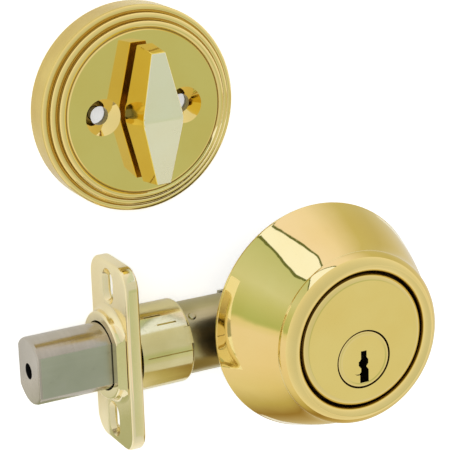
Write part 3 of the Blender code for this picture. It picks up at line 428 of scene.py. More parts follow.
def metal(name, bright, worn, low_roughness, high_roughness, size=60.0, streaks=(1, 1, 1), grain_size=900.0,
          bump=0.0, stains=0.0, stain_colour=(0.30, 0.24, 0.14), lacquer=0.0, centre=(0, 0, 0), spun=False,
          rings=()):
    """A metal finish: colour, haze, finger marks, grain along streaks or spun, stains and dark grooves."""
    material = bpy.data.materials.new(name)
    material.use_nodes = True
    tree = material.node_tree
    shader = tree.nodes["Principled BSDF"]
    shader.inputs["Metallic"].default_value = 1.0
    shader.inputs["Coat Weight"].default_value = lacquer
    shader.inputs["Coat Roughness"].default_value = 0.04
    touch = node(tree, "Group", {"Vector": placed(tree), "Size": size}, node_tree=handling)
    # the vector is stretched or spun before it reaches the grain, so the streaks follow the piece
    way = placed(tree, centre, streaks)
    if spun:
        way = node(tree, "Group", {"Vector": placed(tree, centre)}, node_tree=spin).outputs["Vector"]
    lines = node(tree, "Group", {"Vector": way, "Size": grain_size}, node_tree=grain)
    colour = node(tree, "MixRGB", {"Fac": touch.outputs["Haze"], "Color1": (*bright, 1),
                                   "Color2": (*worn, 1)}).outputs["Color"]
    rough = node(tree, "MixRGB", {"Fac": touch.outputs["Marks"], "Color1": (low_roughness,) * 3 + (1,),
                                  "Color2": (high_roughness,) * 3 + (1,)}).outputs["Color"]
    if bump:
        streak = node(tree, "Math", {0: lines.outputs["Streak"], 1: 0.35}, operation="MULTIPLY")
        colour = node(tree, "MixRGB", {"Fac": streak.outputs["Value"], "Color1": colour,
                                       "Color2": (*worn, 1)}).outputs["Color"]
        raised = node(tree, "Bump", {"Height": lines.outputs["Height"], "Strength": bump,
                                     "Distance": 0.00006})
        tree.links.new(raised.outputs["Normal"], shader.inputs["Normal"])
    if stains:
        spots = node(tree, "Group", {"Vector": placed(tree), "Amount": stains}, node_tree=tarnish)
        colour = node(tree, "MixRGB", {"Fac": spots.outputs["Stain"], "Color1": colour,
                                       "Color2": (*stain_colour, 1)}).outputs["Color"]
        rough = node(tree, "MixRGB", {"Fac": spots.outputs["Stain"], "Color1": rough,
                                      "Color2": (0.6, 0.6, 0.6, 1)}).outputs["Color"]
    for radius, width in rings:
        ring = node(tree, "Group", {"Vector": placed(tree, centre), "Radius": radius, "Width": width},
                    node_tree=grooves).outputs["Mask"]
        colour = node(tree, "MixRGB", {"Fac": ring, "Color1": colour,
                                       "Color2": (*GROOVE_BROWN, 1)}).outputs["Color"]
        rough = node(tree, "MixRGB", {"Fac": ring, "Color1": rough,
                                      "Color2": (0.4, 0.4, 0.4, 1)}).outputs["Color"]
    tree.links.new(colour, shader.inputs["Base Color"])
    tree.links.new(rough, shader.inputs["Roughness"])
    return material


def second_finish(obj, material, test):
    """Gives the faces that pass a test, on their middle and normal, another finish."""
    obj.data.materials.append(material)
    for polygon in obj.data.polygons:
        if test(polygon.center, polygon.normal):
            polygon.material_index = len(obj.data.materials) - 1


GROOVE_BROWN = (0.30, 0.16, 0.03)
BRASS = (0.92, 0.74, 0.29)
BRASS_WORN = (0.90, 0.70, 0.25)


def polished_brass(name):
    """Mirror-polished, lacquered brass."""
    return metal(name, BRASS, BRASS_WORN, 0.045, 0.11, lacquer=0.25)


def finished(obj, material, body, slot_name, *nodes):
    """Gives a piece its material, hangs it on its body's empty and hides the CAD nodes that it replaces."""
    obj.data.materials.clear()
    obj.data.materials.append(material)
    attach(obj, body)
    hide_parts(*nodes)


low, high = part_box("exterior_collar")
collar_axis = Vector(((low.x + high.x) / 2, (low.y + high.y) / 2, low.z))
collar_height = high.z - low.z
collar_radius = (high.x - low.x) / 2
COLLAR_HOLE = 20.6 * MM
COLLAR_LIP = 1.0 * MM
COLLAR_WALL = 2.0 * MM
COLLAR_BEAD = 4.5 * MM
BEAD_AXIS = 21.7 * MM
HOLE_EASE = 2.5 * MM
HOLE_DROP = 0.06 * MM
CONE_SWELL = 0.35 * MM
bead_centre = (BEAD_AXIS, collar_height - COLLAR_BEAD)
ledge = bead_centre[1] - 2.2 * MM
cone_top = (bead_centre[0] + COLLAR_BEAD - 0.1 * MM, bead_centre[1] - 0.9 * MM)
cone_foot = (collar_radius - 0.3 * MM, 2.2 * MM)

profile = [(COLLAR_HOLE, ledge)]
profile += arc((COLLAR_HOLE + HOLE_EASE, collar_height - HOLE_EASE - HOLE_DROP), HOLE_EASE, 180, 97, 12)
profile += arc(bead_centre, COLLAR_BEAD, 75, -6, 20)
for i in range(1, 12):
    down = i / 12
    swell = CONE_SWELL * math.sin(math.pi * down)
    profile.append(tuple(a + (b - a) * down + swell for a, b in zip(cone_top, cone_foot)))
profile += arc((collar_radius - COLLAR_LIP, COLLAR_LIP), COLLAR_LIP, 42, -90, 10)
profile += [(collar_radius - COLLAR_WALL - COLLAR_LIP, 0.0), (cone_foot[0] - COLLAR_WALL, cone_foot[1]),
            (cone_top[0] - COLLAR_WALL, ledge)]
collar = done(turned("collar_shell", profile, collar_axis, steps=200, ring=True))
finished(collar, polished_brass("polished_brass_collar"), "collar", "polished_brass", "exterior_collar")
# A near-black brown for faces inside gaps and hollows: partly dull unpolished brass, partly painted shade in
# the gaps
raw_brass_and_painted_shade = metal("unpolished_brass_and_painted_shade", (0.20, 0.12, 0.03), (0.12, 0.07, 0.02), 0.4, 0.6, bump=0.3,
                  centre=collar_axis, spun=True)


def off_axis(spot, axis):
    """The distance of a point from an upright axis."""
    return math.hypot(spot.x - axis.x, spot.y - axis.y)


# the collar's underside and its hole's wall below the ease get it, painted shade in the groove round the face
second_finish(collar, raw_brass_and_painted_shade, lambda spot, out: out.z < -0.5
              or (out.x * (spot.x - collar_axis.x) + out.y * (spot.y - collar_axis.y) < 0
                  and spot.z < high.z - HOLE_EASE))


# Cylinder housing: the fixed body of the lock, turned from solid brass. A flange behind its face keeps
# the collar on. Five pin chambers are drilled down into the plug's bore, and a strip closes them.
FACE_RADIUS = 20.2 * MM
FACE_ROUNDING = 2.0 * MM
HOUSING_RADIUS = 19.0 * MM
FLANGE_RADIUS = 23.0 * MM
FLANGE_THICKNESS = 2.4 * MM
PLUG_BORE = 6.7 * MM
HEAD_LENGTH = 2.8 * MM
HEAD_RECESS = 8.9 * MM
CHAMBER_RADIUS = 1.55 * MM
POST_SEAT = 3.5 * MM
GUARD_BORE = 1.55 * MM
CLEAR = 0.3 * MM
OVER = 1.0 * MM
low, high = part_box("cylinder_housing")
plug_low, plug_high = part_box("cylinder_plug")
plug_axis = Vector(((plug_low.x + plug_high.x) / 2, (plug_low.y + plug_high.y) / 2, plug_low.z))
face = high.z
flange = collar_axis.z + ledge - 2 * CLEAR
profile = [(FACE_RADIUS - FACE_ROUNDING - 0.4 * MM, face)]
profile += arc((FACE_RADIUS - FACE_ROUNDING, face - FACE_ROUNDING), FACE_ROUNDING, 90, 0, 12)
profile += [(FACE_RADIUS, flange), (FLANGE_RADIUS, flange), (FLANGE_RADIUS, flange - FLANGE_THICKNESS),
            (HOUSING_RADIUS, flange - FLANGE_THICKNESS), (HOUSING_RADIUS, low.z)]
housing = turned("housing_body", profile, (collar_axis.x, collar_axis.y, 0), steps=180)
for guard in ("drill_guard_front", "drill_guard_rear"):
    rod_low, rod_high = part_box(guard)
    combine(housing, drill(GUARD_BORE, low.z - OVER, rod_high.z + CLEAR, (rod_low + rod_high) / 2))
for post in ("mounting_post_front", "mounting_post_rear"):
    rod_low, rod_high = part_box(post)
    combine(housing, drill(POST_SEAT, low.z - OVER, rod_high.z + CLEAR, (rod_low + rod_high) / 2))
cover_low, cover_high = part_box("pin_cover")
for i in range(1, 6):
    pin_low, pin_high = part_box(f"driver_pin_{i}")
    combine(housing, drill(CHAMBER_RADIUS, pin_low.y - 2 * OVER, cover_low.y + CLEAR,
                           (pin_low + pin_high) / 2, axis="Y", steps=24))
combine(housing, box(cover_low - Vector((CLEAR, CLEAR, CLEAR)),
                     cover_high + Vector((CLEAR, collar_radius, CLEAR))))
combine(housing, drill(PLUG_BORE, low.z - OVER, face + OVER, plug_axis, steps=96))
head_seat = plug_high.z - HEAD_LENGTH - 2 * CLEAR
combine(housing, drill(HEAD_RECESS, head_seat, face + OVER, plug_axis, steps=128))
done(housing, bevel=0.12 * MM, bevel_angle=50)
finished(housing, polished_brass("polished_brass_housing"), "lock_body", "polished_brass", "cylinder_housing")
# the housing's sides below its face and the wall round the plug's head get it, painted shade in the gaps
second_finish(housing, raw_brass_and_painted_shade, lambda spot, out: spot.z < face - 0.6 * MM
              or (off_axis(spot, plug_axis) < HEAD_RECESS + 0.02 * MM and spot.z < face - 0.1 * MM))


# Cylinder plug: a headed brass rod that turns inside the housing. It is broached along its length
# with the warded keyway, scooped beside it to guide the key, and slotted behind for the blade.
PLUG_RADIUS = 6.35 * MM
HEAD_RADIUS = 8.55 * MM
HEAD_EDGE = 0.6 * MM
TAIL_RADIUS = 5.0 * MM
tail_top = collar_axis.z + 0.4 * MM
plug_face = plug_high.z
KEYWAY_DEPTH = 24.1 * MM
# the keyway's outline from its root, across the axis and along it, in millimetres
KEYWAY = [(-0.95, 2.6), (-0.95, 0.2), (-1.5, -0.5), (-1.5, -1.9), (-0.7, -2.9), (-0.7, -3.9), (-1.3, -4.6),
          (-1.3, -7.2), (1.6, -7.2), (1.6, -3.4), (0.8, -2.3), (1.5, -1.4), (1.5, -0.2), (0.95, 0.5),
          (0.95, 2.6)]
profile = [(HEAD_RADIUS - HEAD_EDGE - 0.9 * MM, plug_face - 0.12 * MM),
           (HEAD_RADIUS - HEAD_EDGE - 0.5 * MM, plug_face - 0.03 * MM)]
profile += arc((HEAD_RADIUS - HEAD_EDGE, plug_face - HEAD_EDGE), HEAD_EDGE, 90, 0, 7)
profile += [(HEAD_RADIUS, plug_face - HEAD_LENGTH), (PLUG_RADIUS, plug_face - HEAD_LENGTH),
            (PLUG_RADIUS, tail_top), (TAIL_RADIUS, tail_top), (TAIL_RADIUS, plug_low.z)]
plug = turned("plug_body", profile, (plug_axis.x, plug_axis.y, 0), steps=128)
bpy.ops.object.select_all(action="DESELECT")
bpy.ops.mesh.primitive_circle_add(vertices=len(KEYWAY), fill_type="NGON",
                                  location=(plug_axis.x, plug_axis.y, plug_face + OVER))
keyway = bpy.context.object
for vertex, (across, along) in zip(keyway.data.vertices, KEYWAY):
    vertex.co = (across * MM, along * MM, 0)
bpy.ops.object.mode_set(mode="EDIT")
bpy.ops.mesh.select_all(action="SELECT")
bpy.ops.mesh.extrude_region_move(TRANSFORM_OT_translate={"value": (0, 0, -KEYWAY_DEPTH - OVER)})
bpy.ops.mesh.select_all(action="SELECT")
bpy.ops.mesh.normals_make_consistent(inside=False)
bpy.ops.object.mode_set(mode="OBJECT")
settle(keyway)
combine(plug, keyway)
for i in range(1, 6):
    pin_low, pin_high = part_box(f"bottom_pin_{i}")
    combine(plug, drill(CHAMBER_RADIUS, pin_low.y - CLEAR, plug_axis.y + PLUG_RADIUS + OVER,
                        (pin_low + pin_high) / 2, axis="Y", steps=24))
blade_low, blade_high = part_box("torque_blade")
combine(plug, box((blade_low.x - CLEAR, blade_low.y - CLEAR, plug_low.z - OVER),
                  blade_high + Vector((CLEAR, CLEAR, CLEAR))))
SCOOP = (-1.6 * MM, -2.6 * MM)
SCOOP_RADIUS = 2.1 * MM
SCOOP_DEPTH = 0.5 * MM
combine(plug, drill(SCOOP_RADIUS, plug_face - SCOOP_DEPTH, plug_face + OVER,
                    (plug_axis.x + SCOOP[0], plug_axis.y + SCOOP[1], 0)))
done(plug, bevel=0.08 * MM, bevel_angle=50)
finished(plug, polished_brass("polished_brass_plug"), "key_plug", "polished_brass", "cylinder_plug")
# The keyway's walls, the head's sides and the shank get a near-black colour: painted shade in the keyway and
# gaps, over real broaching marks
broached_and_painted_shade = metal("broached_brass_painted_shade", (0.07, 0.055, 0.03), (0.04, 0.03, 0.02), 0.45, 0.6, streaks=(1, 1, 0.05),
                 bump=0.2)
second_finish(plug, broached_and_painted_shade, lambda spot, out: spot.z < plug_face - HEAD_EDGE - 0.1 * MM
              or (abs(out.z) < 0.5 and off_axis(spot, plug_axis) < HEAD_RADIUS - 2 * HEAD_EDGE))


# Faceplate: it fixes the latch into the door's edge with two wood screws. It is cast thick, with round
# corners, eased edges and two long countersunk slots, then bright brass plated.
PLATE_CORNER = 6.35 * MM
PLATE_EASE = 1.0 * MM
SLOT_SPACING = 42.0 * MM
SLOT_HALF = (4.75 * MM, 2.8 * MM)
SLOT_ROUNDING = 0.999
SINK = 1.3 * MM
SINK_DEPTH = 1.5 * MM
POCKET_RIM = 2.0 * MM
POCKET_DEPTH = 2.2 * MM
BOSS_RADIUS = 13.3 * MM
BOSS_FLAT = 11.2 * MM


def along_bolt(obj):
    """Lays a piece turned on +Z along the bolt's axis, its own heights becoming world X."""
    obj.rotation_euler = (0, math.radians(90), 0)
    obj.location = (0, bolt_axis.y, bolt_axis.z)
    settle(obj)
    return obj


def flatted(name, profile, flat, steps=128):
    """A turned solid along the bolt, from (radius, world X) points, with two flats."""
    obj = along_bolt(turned(name, profile, steps=steps))
    bpy.ops.object.mode_set(mode="EDIT")
    for side in (-1, 1):
        bpy.ops.mesh.select_all(action="SELECT")
        bpy.ops.mesh.bisect(plane_co=(0, 0, bolt_axis.z + side * flat), plane_no=(0, 0, side), use_fill=True,
                            clear_outer=True)
    bpy.ops.object.mode_set(mode="OBJECT")
    return obj


def rounded_block(low, high, axis, corner, segments):
    """A block whose edges along one axis are rounded."""
    obj = box(low, high)
    across = [k for k in range(3) if k != "XYZ".index(axis)]
    bpy.ops.object.mode_set(mode="EDIT")
    mesh = obj.data
    bpy.ops.mesh.select_all(action="DESELECT")
    bpy.ops.mesh.select_mode(type="EDGE")
    bpy.ops.object.mode_set(mode="OBJECT")
    for edge in mesh.edges:
        a, b = (mesh.vertices[v].co for v in edge.vertices)
        edge.select = all(abs(a[k] - b[k]) < 0.01 * MM for k in across)
    bpy.ops.object.mode_set(mode="EDIT")
    bpy.ops.mesh.bevel(offset=corner, segments=segments, affect="EDGES")
    bpy.ops.object.mode_set(mode="OBJECT")
    return obj


plate_low, plate_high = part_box("faceplate")
bolt_low, bolt_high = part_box("bolt")
bolt_axis = Vector((bolt_low.x, (bolt_low.y + bolt_high.y) / 2, (bolt_low.z + bolt_high.z) / 2))
plate = rounded_block(plate_low, plate_high, "X", PLATE_CORNER, 12)
plate.name = "faceplate_body"
apply_modifier(plate, "BEVEL", width=PLATE_EASE, segments=5, limit_method="ANGLE",
               angle_limit=math.radians(50))
combine(plate, flatted("boss_hole", [(BOSS_RADIUS + CLEAR, plate_low.x - OVER),
                                     (BOSS_RADIUS + CLEAR, plate_high.x + OVER)], BOSS_FLAT + CLEAR))
for side in (-1, 1):
    middle = Vector((0, bolt_axis.y + side * SLOT_SPACING / 2, bolt_axis.z))
    sunk = Vector((0, SLOT_HALF[0] + SINK, SLOT_HALF[1] + SINK))
    sink = rounded_block(middle - sunk + Vector((plate_low.x - OVER, 0, 0)),
                         middle + sunk + Vector((plate_low.x + SINK_DEPTH, 0, 0)), "X",
                         sunk.z * SLOT_ROUNDING, 10)
    bpy.ops.object.mode_set(mode="EDIT")
    select_where(sink, lambda spot: spot.x > plate_low.x + SINK_DEPTH - 0.01 * MM, "FACE")
    bpy.ops.transform.resize(value=(1, SLOT_HALF[0] / sunk.y, SLOT_HALF[1] / sunk.z), center_override=middle)
    bpy.ops.mesh.extrude_region_move(TRANSFORM_OT_translate={"value": (plate_high.x - plate_low.x, 0, 0)})
    bpy.ops.object.mode_set(mode="OBJECT")
    combine(plate, sink)
    # a pocket behind the slot leaves a thin web there
    start, end = BOSS_RADIUS + CLEAR + POCKET_RIM, (plate_high.y - plate_low.y) / 2 - POCKET_RIM
    middle.y = bolt_axis.y + side * (start + end) / 2
    reach = Vector((0, (end - start) / 2, (plate_high.z - plate_low.z) / 2 - POCKET_RIM))
    combine(plate, rounded_block(middle - reach + Vector((plate_high.x - POCKET_DEPTH, 0, 0)),
                                 middle + reach + Vector((plate_high.x + OVER, 0, 0)), "X",
                                 PLATE_CORNER - POCKET_RIM, 6))
done(plate, bevel=0.3 * MM, segments=3, bevel_angle=40)
PALE_BRASS = (0.94, 0.83, 0.53)
PALE_BRASS_WORN = (0.90, 0.78, 0.46)
finished(plate, metal("bright_brass_plate", PALE_BRASS, PALE_BRASS_WORN, 0.13, 0.22, streaks=(1, 0.06, 1),
                      bump=0.12, lacquer=0.15), "lock_body", "pale_brass", "faceplate")


# Bolt guide: the boss that stands out of the faceplate, holds the bolt and keeps it from turning.
# Its foot flares onto the faceplate, and its hole has the bolt's two flats.
GUIDE_HOLE = 10.55 * MM
GUIDE_HOLE_FLAT = 8.45 * MM
FLARE = 2.0 * MM
GUIDE_EDGE = 0.7 * MM
guide_low, guide_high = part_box("bolt_guide")
flare_foot = plate_low.x - 0.02 * MM
profile = [(BOSS_RADIUS, guide_high.x), (BOSS_RADIUS, flare_foot)]
profile += [(r, x) for x, r in arc((flare_foot - FLARE, BOSS_RADIUS + FLARE), FLARE, 0, -90, 8)]
profile += [(r, x) for x, r in arc((guide_low.x + GUIDE_EDGE, BOSS_RADIUS - GUIDE_EDGE), GUIDE_EDGE,
                                   90, 180, 6)]
guide = flatted("guide_boss", profile, BOSS_FLAT)
combine(guide, flatted("guide_hole", [(GUIDE_HOLE, guide_low.x - OVER), (GUIDE_HOLE, guide_high.x + OVER)],
                       GUIDE_HOLE_FLAT))
done(guide, bevel=0.25 * MM, segments=3, bevel_angle=50)
finished(guide, metal("bright_brass_guide", PALE_BRASS, PALE_BRASS_WORN, 0.12, 0.22, lacquer=0.15),
         "lock_body", "pale_brass", "bolt_guide")


# Latch sleeve: a drawn brass-plated cup over the front of the tube. Two slits and a staked seam hold
# it to the tube, and its rear shoulder is round.
SLEEVE_WALL = 1.35 * MM
SLEEVE_SHOULDER = 1.2 * MM
sleeve_low, sleeve_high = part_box("latch_sleeve")
sleeve_radius = (sleeve_high.z - sleeve_low.z) / 2


def round_bolt(angle, radius, x):
    """A point round the bolt's axis: 0 degrees towards the door's top, 90 degrees upwards."""
    a = math.radians(angle)
    return Vector((x, bolt_axis.y + radius * math.cos(a), bolt_axis.z + radius * math.sin(a)))


profile = [(sleeve_radius - SLEEVE_WALL, sleeve_low.x), (sleeve_radius, sleeve_low.x)]
profile += [(sleeve_radius, sleeve_high.x - SLEEVE_SHOULDER)]
profile += [(r, x) for x, r in arc((sleeve_high.x - SLEEVE_SHOULDER, sleeve_radius - SLEEVE_SHOULDER),
                                   SLEEVE_SHOULDER, 80, 10, 6)]
profile += [(sleeve_radius - SLEEVE_WALL, sleeve_high.x)]
sleeve = along_bolt(turned("sleeve_cup", profile, steps=144, ring=True))
# each cut: its angle round the sleeve, where it starts and ends behind the faceplate, and its width
SLEEVE_CUTS = [(28, 3.6, 9.0, 0.45), (43, 6.6, 12.8, 0.45), (86, 1.5, 17.2, 0.3), (65, 14.6, 18.0, 5.2)]
for angle, start, end, width in SLEEVE_CUTS:
    cutter = box((start * MM, -width / 2 * MM, -0.9 * MM), (end * MM, width / 2 * MM, 2.0 * MM))
    cutter.rotation_euler = (math.radians(angle - 90), 0, 0)
    cutter.location = round_bolt(angle, sleeve_radius, sleeve_low.x)
    settle(cutter)
    combine(sleeve, cutter)
done(sleeve, bevel=0.12 * MM, bevel_angle=50)
finished(sleeve, metal("bright_brass_sleeve", (0.88, 0.78, 0.44), (0.74, 0.64, 0.30), 0.14, 0.28,
                       streaks=(0.05, 1, 1), bump=0.15, stains=0.10, stain_colour=(0.45, 0.36, 0.16)),
         "lock_body", "pale_brass", "latch_sleeve")


# Latch tube: rolled and welded steel tube with a dull bronze plating. The bolt slides in it, the tail
# plates' tongues are held in its rear, and a small rivet stops the bolt's bar.
tube_low, tube_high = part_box("latch_tube")
TUBE_OUTER = 11.05 * MM
TUBE_INNER = 10.45 * MM
RIVET_SPOTS = [(36, 2.2), (78, 15.0), (200, 8.0)]
tube = along_bolt(turned("tube_body", [(TUBE_INNER, tube_low.x), (TUBE_OUTER, tube_low.x),
                                       (TUBE_OUTER, tube_high.x), (TUBE_INNER, tube_high.x)], steps=128,
                         ring=True))
for angle, behind in RIVET_SPOTS:
    head = turned("rivet_head", [(1.25 * MM, -0.35 * MM), (1.25 * MM, 0.15 * MM), (1.05 * MM, 0.4 * MM),
                                 (0.6 * MM, 0.52 * MM)], steps=24)
    head.rotation_euler = (math.radians(angle - 90), 0, 0)
    head.location = round_bolt(angle, TUBE_OUTER, sleeve_high.x + behind * MM)
    settle(head)
    combine(tube, head, "UNION")
done(tube, bevel=0.1 * MM, bevel_angle=50)
finished(tube, metal("bronze_plated_steel", (0.56, 0.49, 0.24), (0.42, 0.36, 0.16), 0.28, 0.42,
                     streaks=(0.04, 1, 1), bump=0.3, stains=0.14), "lock_body", "plated_steel", "latch_tube")


# Bolt: a steel bar with two milled flats and a turned nose. A hardened pin sits deep in its bore, and
# its rear is slotted for the drive bar. The turned sides are satin and the flats keep their mill marks.
BOLT_RADIUS = 10.1 * MM
BOLT_FLAT = 8.0 * MM
FLATS_FROM = 7 * MM
BOLT_NOSE = 0.8 * MM
BORE_RADIUS = 2.4 * MM
BORE_DEPTH = 25.0 * MM
bolt = flatted("bolt_bar", [(BOLT_RADIUS, bolt_low.x), (BOLT_RADIUS, bolt_high.x)], BOLT_FLAT, steps=160)
apply_modifier(bolt, "BEVEL", width=BOLT_NOSE, segments=2, limit_method="ANGLE", angle_limit=math.radians(60))
combine(bolt, drill(BORE_RADIUS, bolt_low.x - OVER, bolt_low.x + BORE_DEPTH, bolt_axis, axis="X"))
bar_low, bar_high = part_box("bolt_drive_bar")
combine(bolt, box((bar_low.x - CLEAR, bolt_low.y - OVER, bar_low.z - CLEAR),
                  (bolt_high.x + OVER, bar_high.y + CLEAR, bar_high.z + CLEAR)))
rivet_low, rivet_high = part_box("bolt_rivet")
combine(bolt, drill((rivet_high.x - rivet_low.x) / 2 + CLEAR, bolt_low.z - OVER, bolt_high.z + OVER,
                    (rivet_low + rivet_high) / 2, steps=24))
done(bolt, bevel=0.15 * MM, segments=2, bevel_angle=25)
turned_steel = metal("turned_bolt_steel", (0.54, 0.49, 0.42), (0.40, 0.36, 0.29), 0.20, 0.32,
                     streaks=(1, 0.05, 0.05), bump=0.25, stains=0.05, stain_colour=(0.33, 0.27, 0.14))
finished(bolt, turned_steel, "bolt", "bolt_steel", "bolt")
milled_steel = metal("milled_bolt_flat", (0.50, 0.50, 0.42), (0.40, 0.41, 0.33), 0.28, 0.42,
                     streaks=(0.05, 1, 1), bump=0.35, stains=0.20, stain_colour=(0.23, 0.19, 0.10))
second_finish(bolt, milled_steel, lambda spot, out: abs(out.z) > 0.98
              and abs(spot.z - bolt_axis.z) > FLATS_FROM)
# the bore's walls and floor are painted near black: painted shade deep in the hole
bore_painted_shade = metal("bore_painted_shade", (0.03, 0.03, 0.03), (0.02, 0.02, 0.02), 0.6, 0.7)
second_finish(bolt, bore_painted_shade, lambda spot, out: math.hypot(spot.y - bolt_axis.y, spot.z - bolt_axis.z)
              < BORE_RADIUS + 0.02 * MM and spot.x > bolt_low.x + 0.3 * MM)


# Inside rose: the round cover of the inside unit, pressed from brass sheet. Three stepped beads run
# round its flat disc, which is dished down round two screw holes and polished to a mirror.
DISC_RADIUS = 24.1 * MM
ROSE_WALL = 1.6 * MM
ROSE_BEADS = 3
BEAD_DROP = 0.9 * MM
STEP_DROP = 1.6 * MM
ROSE_HOLE = 4.5 * MM
HOLE_RADIUS = 2.75 * MM
SINK_RADIUS = 5.4 * MM
ROSE_SINK_DEPTH = 2.9 * MM
DISH_RADIUS = 6.2 * MM
DISH_DEPTH = 4.6 * MM
rose_low, rose_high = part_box("inside_rose")
rose_axis = Vector(((rose_low.x + rose_high.x) / 2, (rose_low.y + rose_high.y) / 2, 0))
rose_radius = (rose_high.x - rose_low.x) / 2
disc = rose_high.z
bead_width = (rose_radius - DISC_RADIUS) / ROSE_BEADS
profile = [(ROSE_HOLE, disc), (DISC_RADIUS - 0.8 * MM, disc), (DISC_RADIUS - 0.4 * MM, disc),
           (DISC_RADIUS, disc - 0.5 * MM)]
for i in range(ROSE_BEADS):
    last = i == ROSE_BEADS - 1
    bead = (DISC_RADIUS + bead_width * (i + 0.5), disc - bead_width / 2 - STEP_DROP * i)
    profile += arc(bead, bead_width / 2, 150, 0 if last else -25, 10)
profile += arc((rose_radius - 0.5 * MM, 0.5 * MM), 0.5 * MM, 0, -90, 5)
skirt_roof = disc - BEAD_DROP - STEP_DROP * (ROSE_BEADS - 1) - bead_width / 4 - ROSE_WALL
profile += [(rose_radius - ROSE_WALL, 0), (rose_radius - ROSE_WALL, skirt_roof),
            (DISC_RADIUS, disc - BEAD_DROP - ROSE_WALL), (DISC_RADIUS - 1.5 * MM, disc - ROSE_WALL),
            (ROSE_HOLE, disc - ROSE_WALL)]
rose = turned("rose_cover", profile, rose_axis, steps=192, ring=True)
post_low, post_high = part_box("mounting_post_front")
screw_offset = plug_axis.x - (post_low.x + post_high.x) / 2
for side in (-1, 1):
    spot = rose_axis + Vector((side * screw_offset, 0, 0))
    combine(rose, drill(DISH_RADIUS, disc - DISH_DEPTH, disc - ROSE_WALL / 2, spot), "UNION")
    combine(rose, drill(HOLE_RADIUS, disc - DISH_DEPTH - OVER, disc + OVER, spot))
    slope = (SINK_RADIUS - HOLE_RADIUS) / ROSE_SINK_DEPTH
    sink = turned("rose_sink", [(HOLE_RADIUS - 0.1 * MM, disc - ROSE_SINK_DEPTH), (SINK_RADIUS, disc),
                                (SINK_RADIUS + slope * OVER, disc + OVER)], spot, steps=64)
    combine(rose, sink)
done(rose, bevel=0.35 * MM, segments=4, bevel_angle=38)
GROOVE_RINGS = [(DISC_RADIUS + 0.1 * MM, 0.26 * MM), (DISC_RADIUS + bead_width, 0.14 * MM),
                (DISC_RADIUS + bead_width * 2, 0.12 * MM)]
finished(rose, metal("polished_brass_rose", BRASS, BRASS_WORN, 0.05, 0.11, lacquer=0.25, centre=rose_axis,
                     rings=GROOVE_RINGS), "lock_body", "polished_brass", "inside_rose")
second_finish(rose, metal("spun_brass_wall", (0.82, 0.66, 0.22), (0.62, 0.45, 0.12), 0.20, 0.32, size=35,
                          grain_size=1500, bump=0.5, centre=rose_axis, spun=True),
              lambda spot, out: off_axis(spot, rose_axis) > rose_radius - 0.6 * MM and abs(out.z) < 0.6)


# Thumbturn: a cast brass lozenge with drafted sides and a crowned front, on a round neck that is
# staked into the spindle behind the rose. It is polished by hand, so its edges are soft.
TURN_TIP = 5.0 * MM
TURN_DRAFT = 1.0 * MM
TURN_CROWN = 1.6 * MM
TURN_GAP = 2.1 * MM
TURN_SOFT = 10.0 * MM
TURN_EDGE = 1.4 * MM
RIDGE_EASE = 3.5 * MM
NECK_RADIUS = 4.1 * MM
NECK_SWELL = 1.2 * MM
NECK_REACH = 2.0 * MM
TOUCH = 0.02 * MM
turn_low, turn_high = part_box("thumbturn")
half_length = (turn_high.y - turn_low.y) / 2
half_width = (turn_high.x - turn_low.x) / 2
blade_foot = disc + TURN_GAP
slope = math.degrees(math.atan2(half_width - TURN_TIP / 2, half_length))
bend = half_width - TURN_SOFT / math.cos(math.radians(slope))
side = arc((bend, 0), TURN_SOFT, -slope, slope, 9)
LOZENGE = (side + [(TURN_TIP / 2, half_length), (-TURN_TIP / 2, half_length)]
           + [(-x, -y) for x, y in side] + [(-TURN_TIP / 2, -half_length), (TURN_TIP / 2, -half_length)])
bpy.ops.object.select_all(action="DESELECT")
bpy.ops.mesh.primitive_circle_add(vertices=len(LOZENGE), fill_type="NGON",
                                  location=(rose_axis.x, rose_axis.y, blade_foot))
blade = bpy.context.object
blade.name = "thumbturn_blade"
for corner, (x, y) in zip(blade.data.vertices, LOZENGE):
    corner.co = (x, y, 0)
bpy.ops.object.mode_set(mode="EDIT")
bpy.ops.mesh.select_mode(type="VERT")
bpy.ops.mesh.select_all(action="SELECT")
bpy.ops.mesh.extrude_region_move(TRANSFORM_OT_translate={"value": (0, 0, turn_high.z - blade_foot)})
bpy.ops.transform.resize(value=(1 - TURN_DRAFT / half_width, 1 - TURN_DRAFT / half_length, 1),
                         center_override=rose_axis)


def on_ridge(spot):
    """Whether a point lies on the middle line of the front."""
    return spot.z > turn_high.z - TOUCH and abs(spot.y - rose_axis.y) < TOUCH


# the crowned front slopes down from a soft ridge to both ends
select_where(blade, on_ridge, "VERT")
bpy.ops.mesh.vert_connect_path()
bpy.ops.object.mode_set(mode="OBJECT")
for corner in blade.data.vertices:
    if corner.co.z > (turn_high.z - blade_foot) / 2:
        corner.co.z -= TURN_CROWN * abs(corner.co.y) / half_length
bpy.ops.object.mode_set(mode="EDIT")
bpy.ops.mesh.select_all(action="SELECT")
bpy.ops.mesh.normals_make_consistent(inside=False)
select_where(blade, on_ridge, "EDGE")
bpy.ops.mesh.bevel(offset=RIDGE_EASE, segments=5, affect="EDGES")
bpy.ops.object.mode_set(mode="OBJECT")
apply_modifier(blade, "BEVEL", width=TURN_EDGE, segments=6, limit_method="ANGLE",
               angle_limit=math.radians(40), use_clamp_overlap=True)
neck = turned("neck", [(NECK_RADIUS, turn_low.z), (NECK_RADIUS, disc + 0.6 * MM)]
              + [(NECK_RADIUS + NECK_SWELL * k * k, disc + (0.6 + 1.5 * k) * MM) for k in (0.33, 0.66, 1.0)]
              + [(NECK_RADIUS, blade_foot + NECK_REACH)], rose_axis, steps=64)
combine(blade, neck, "UNION")
done(blade, angle=30.0)
finished(blade, metal("deep_brass_thumbturn", (0.90, 0.72, 0.15), (0.86, 0.66, 0.11), 0.09, 0.16,
                      lacquer=0.2), "thumbturn", "polished_brass", "thumbturn")
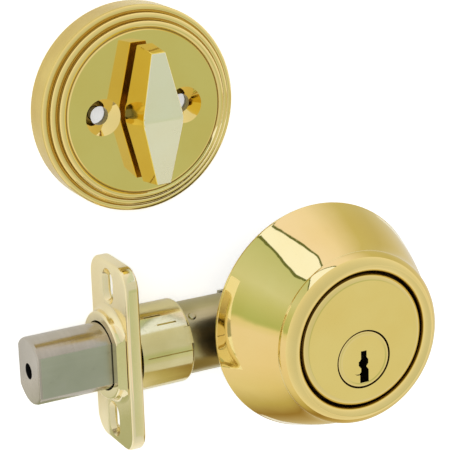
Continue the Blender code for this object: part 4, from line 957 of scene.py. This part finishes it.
# the upward faces of the front are painted pale cream, a painted sheen of the light, over a real satin
# lacquer
satin_front_painted_sheen = metal("satin_brass_front_painted_sheen", (0.98, 0.94, 0.76), (0.97, 0.90, 0.68), 0.24, 0.34, lacquer=0.5)
second_finish(blade, satin_front_painted_sheen, lambda spot, out: out.z > 0.8)
# the underside is rough cast brass, and its darker colour is partly painted shade in the gap under the blade
cast_back_and_painted_shade = metal("cast_brass_back_and_painted_shade", (0.55, 0.34, 0.10), (0.42, 0.24, 0.06), 0.45, 0.6, size=140, bump=0.4)
second_finish(blade, cast_back_and_painted_shade, lambda spot, out: out.z < -0.8)


# The works behind: what shows from the back and the sides keeps the shape it was made to. Each kind of
# metal has its own finish: cast zinc, yellow-plated steel, hardened steel, nickel silver and brass strip.
cast_zinc = metal("cast_zinc", (0.56, 0.53, 0.46), (0.44, 0.41, 0.34), 0.36, 0.5, size=140, grain_size=2600,
                  bump=0.5, stains=0.10)
zinc_plate = metal("yellow_zinc_plate", (0.64, 0.56, 0.36), (0.52, 0.50, 0.36), 0.24, 0.38, size=90,
                   streaks=(0.08, 1, 1), bump=0.25, stains=0.08)
hard_steel = metal("hardened_steel", (0.34, 0.32, 0.30), (0.24, 0.23, 0.22), 0.26, 0.4, streaks=(1, 1, 0.05),
                   bump=0.2, stains=0.08, stain_colour=(0.12, 0.10, 0.08))
nickel_silver = metal("nickel_silver", (0.72, 0.70, 0.63), (0.62, 0.60, 0.52), 0.14, 0.26,
                      streaks=(1, 1, 0.05), bump=0.1)
plated_strip = metal("brass_strip", (0.86, 0.72, 0.40), (0.76, 0.60, 0.30), 0.2, 0.34, bump=0.15)
PINS = [f"{kind}_{i}" for kind in ("bottom_pin", "driver_pin", "pin_spring") for i in range(1, 6)]
kept = {
    cast_zinc: ["mounting_post_front", "mounting_post_rear", "plug_retainer", "drive_crank"],
    zinc_plate: ["tail_plate_outer", "tail_plate_inner", "tail_spacer", "bolt_drive_bar", "bolt_rivet",
                 "mounting_plate"],
    hard_steel: ["torque_blade", "crank_pin", "drill_guard_front", "drill_guard_rear", "thumbturn_spindle",
                 "retaining_clip", "bolt_hardened_pin"],
    nickel_silver: ["spring_washer"] + PINS,
    plated_strip: ["pin_cover"],
}
for material, names in kept.items():
    for name in names:
        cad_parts[name].data.materials.clear()
        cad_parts[name].data.materials.append(material)
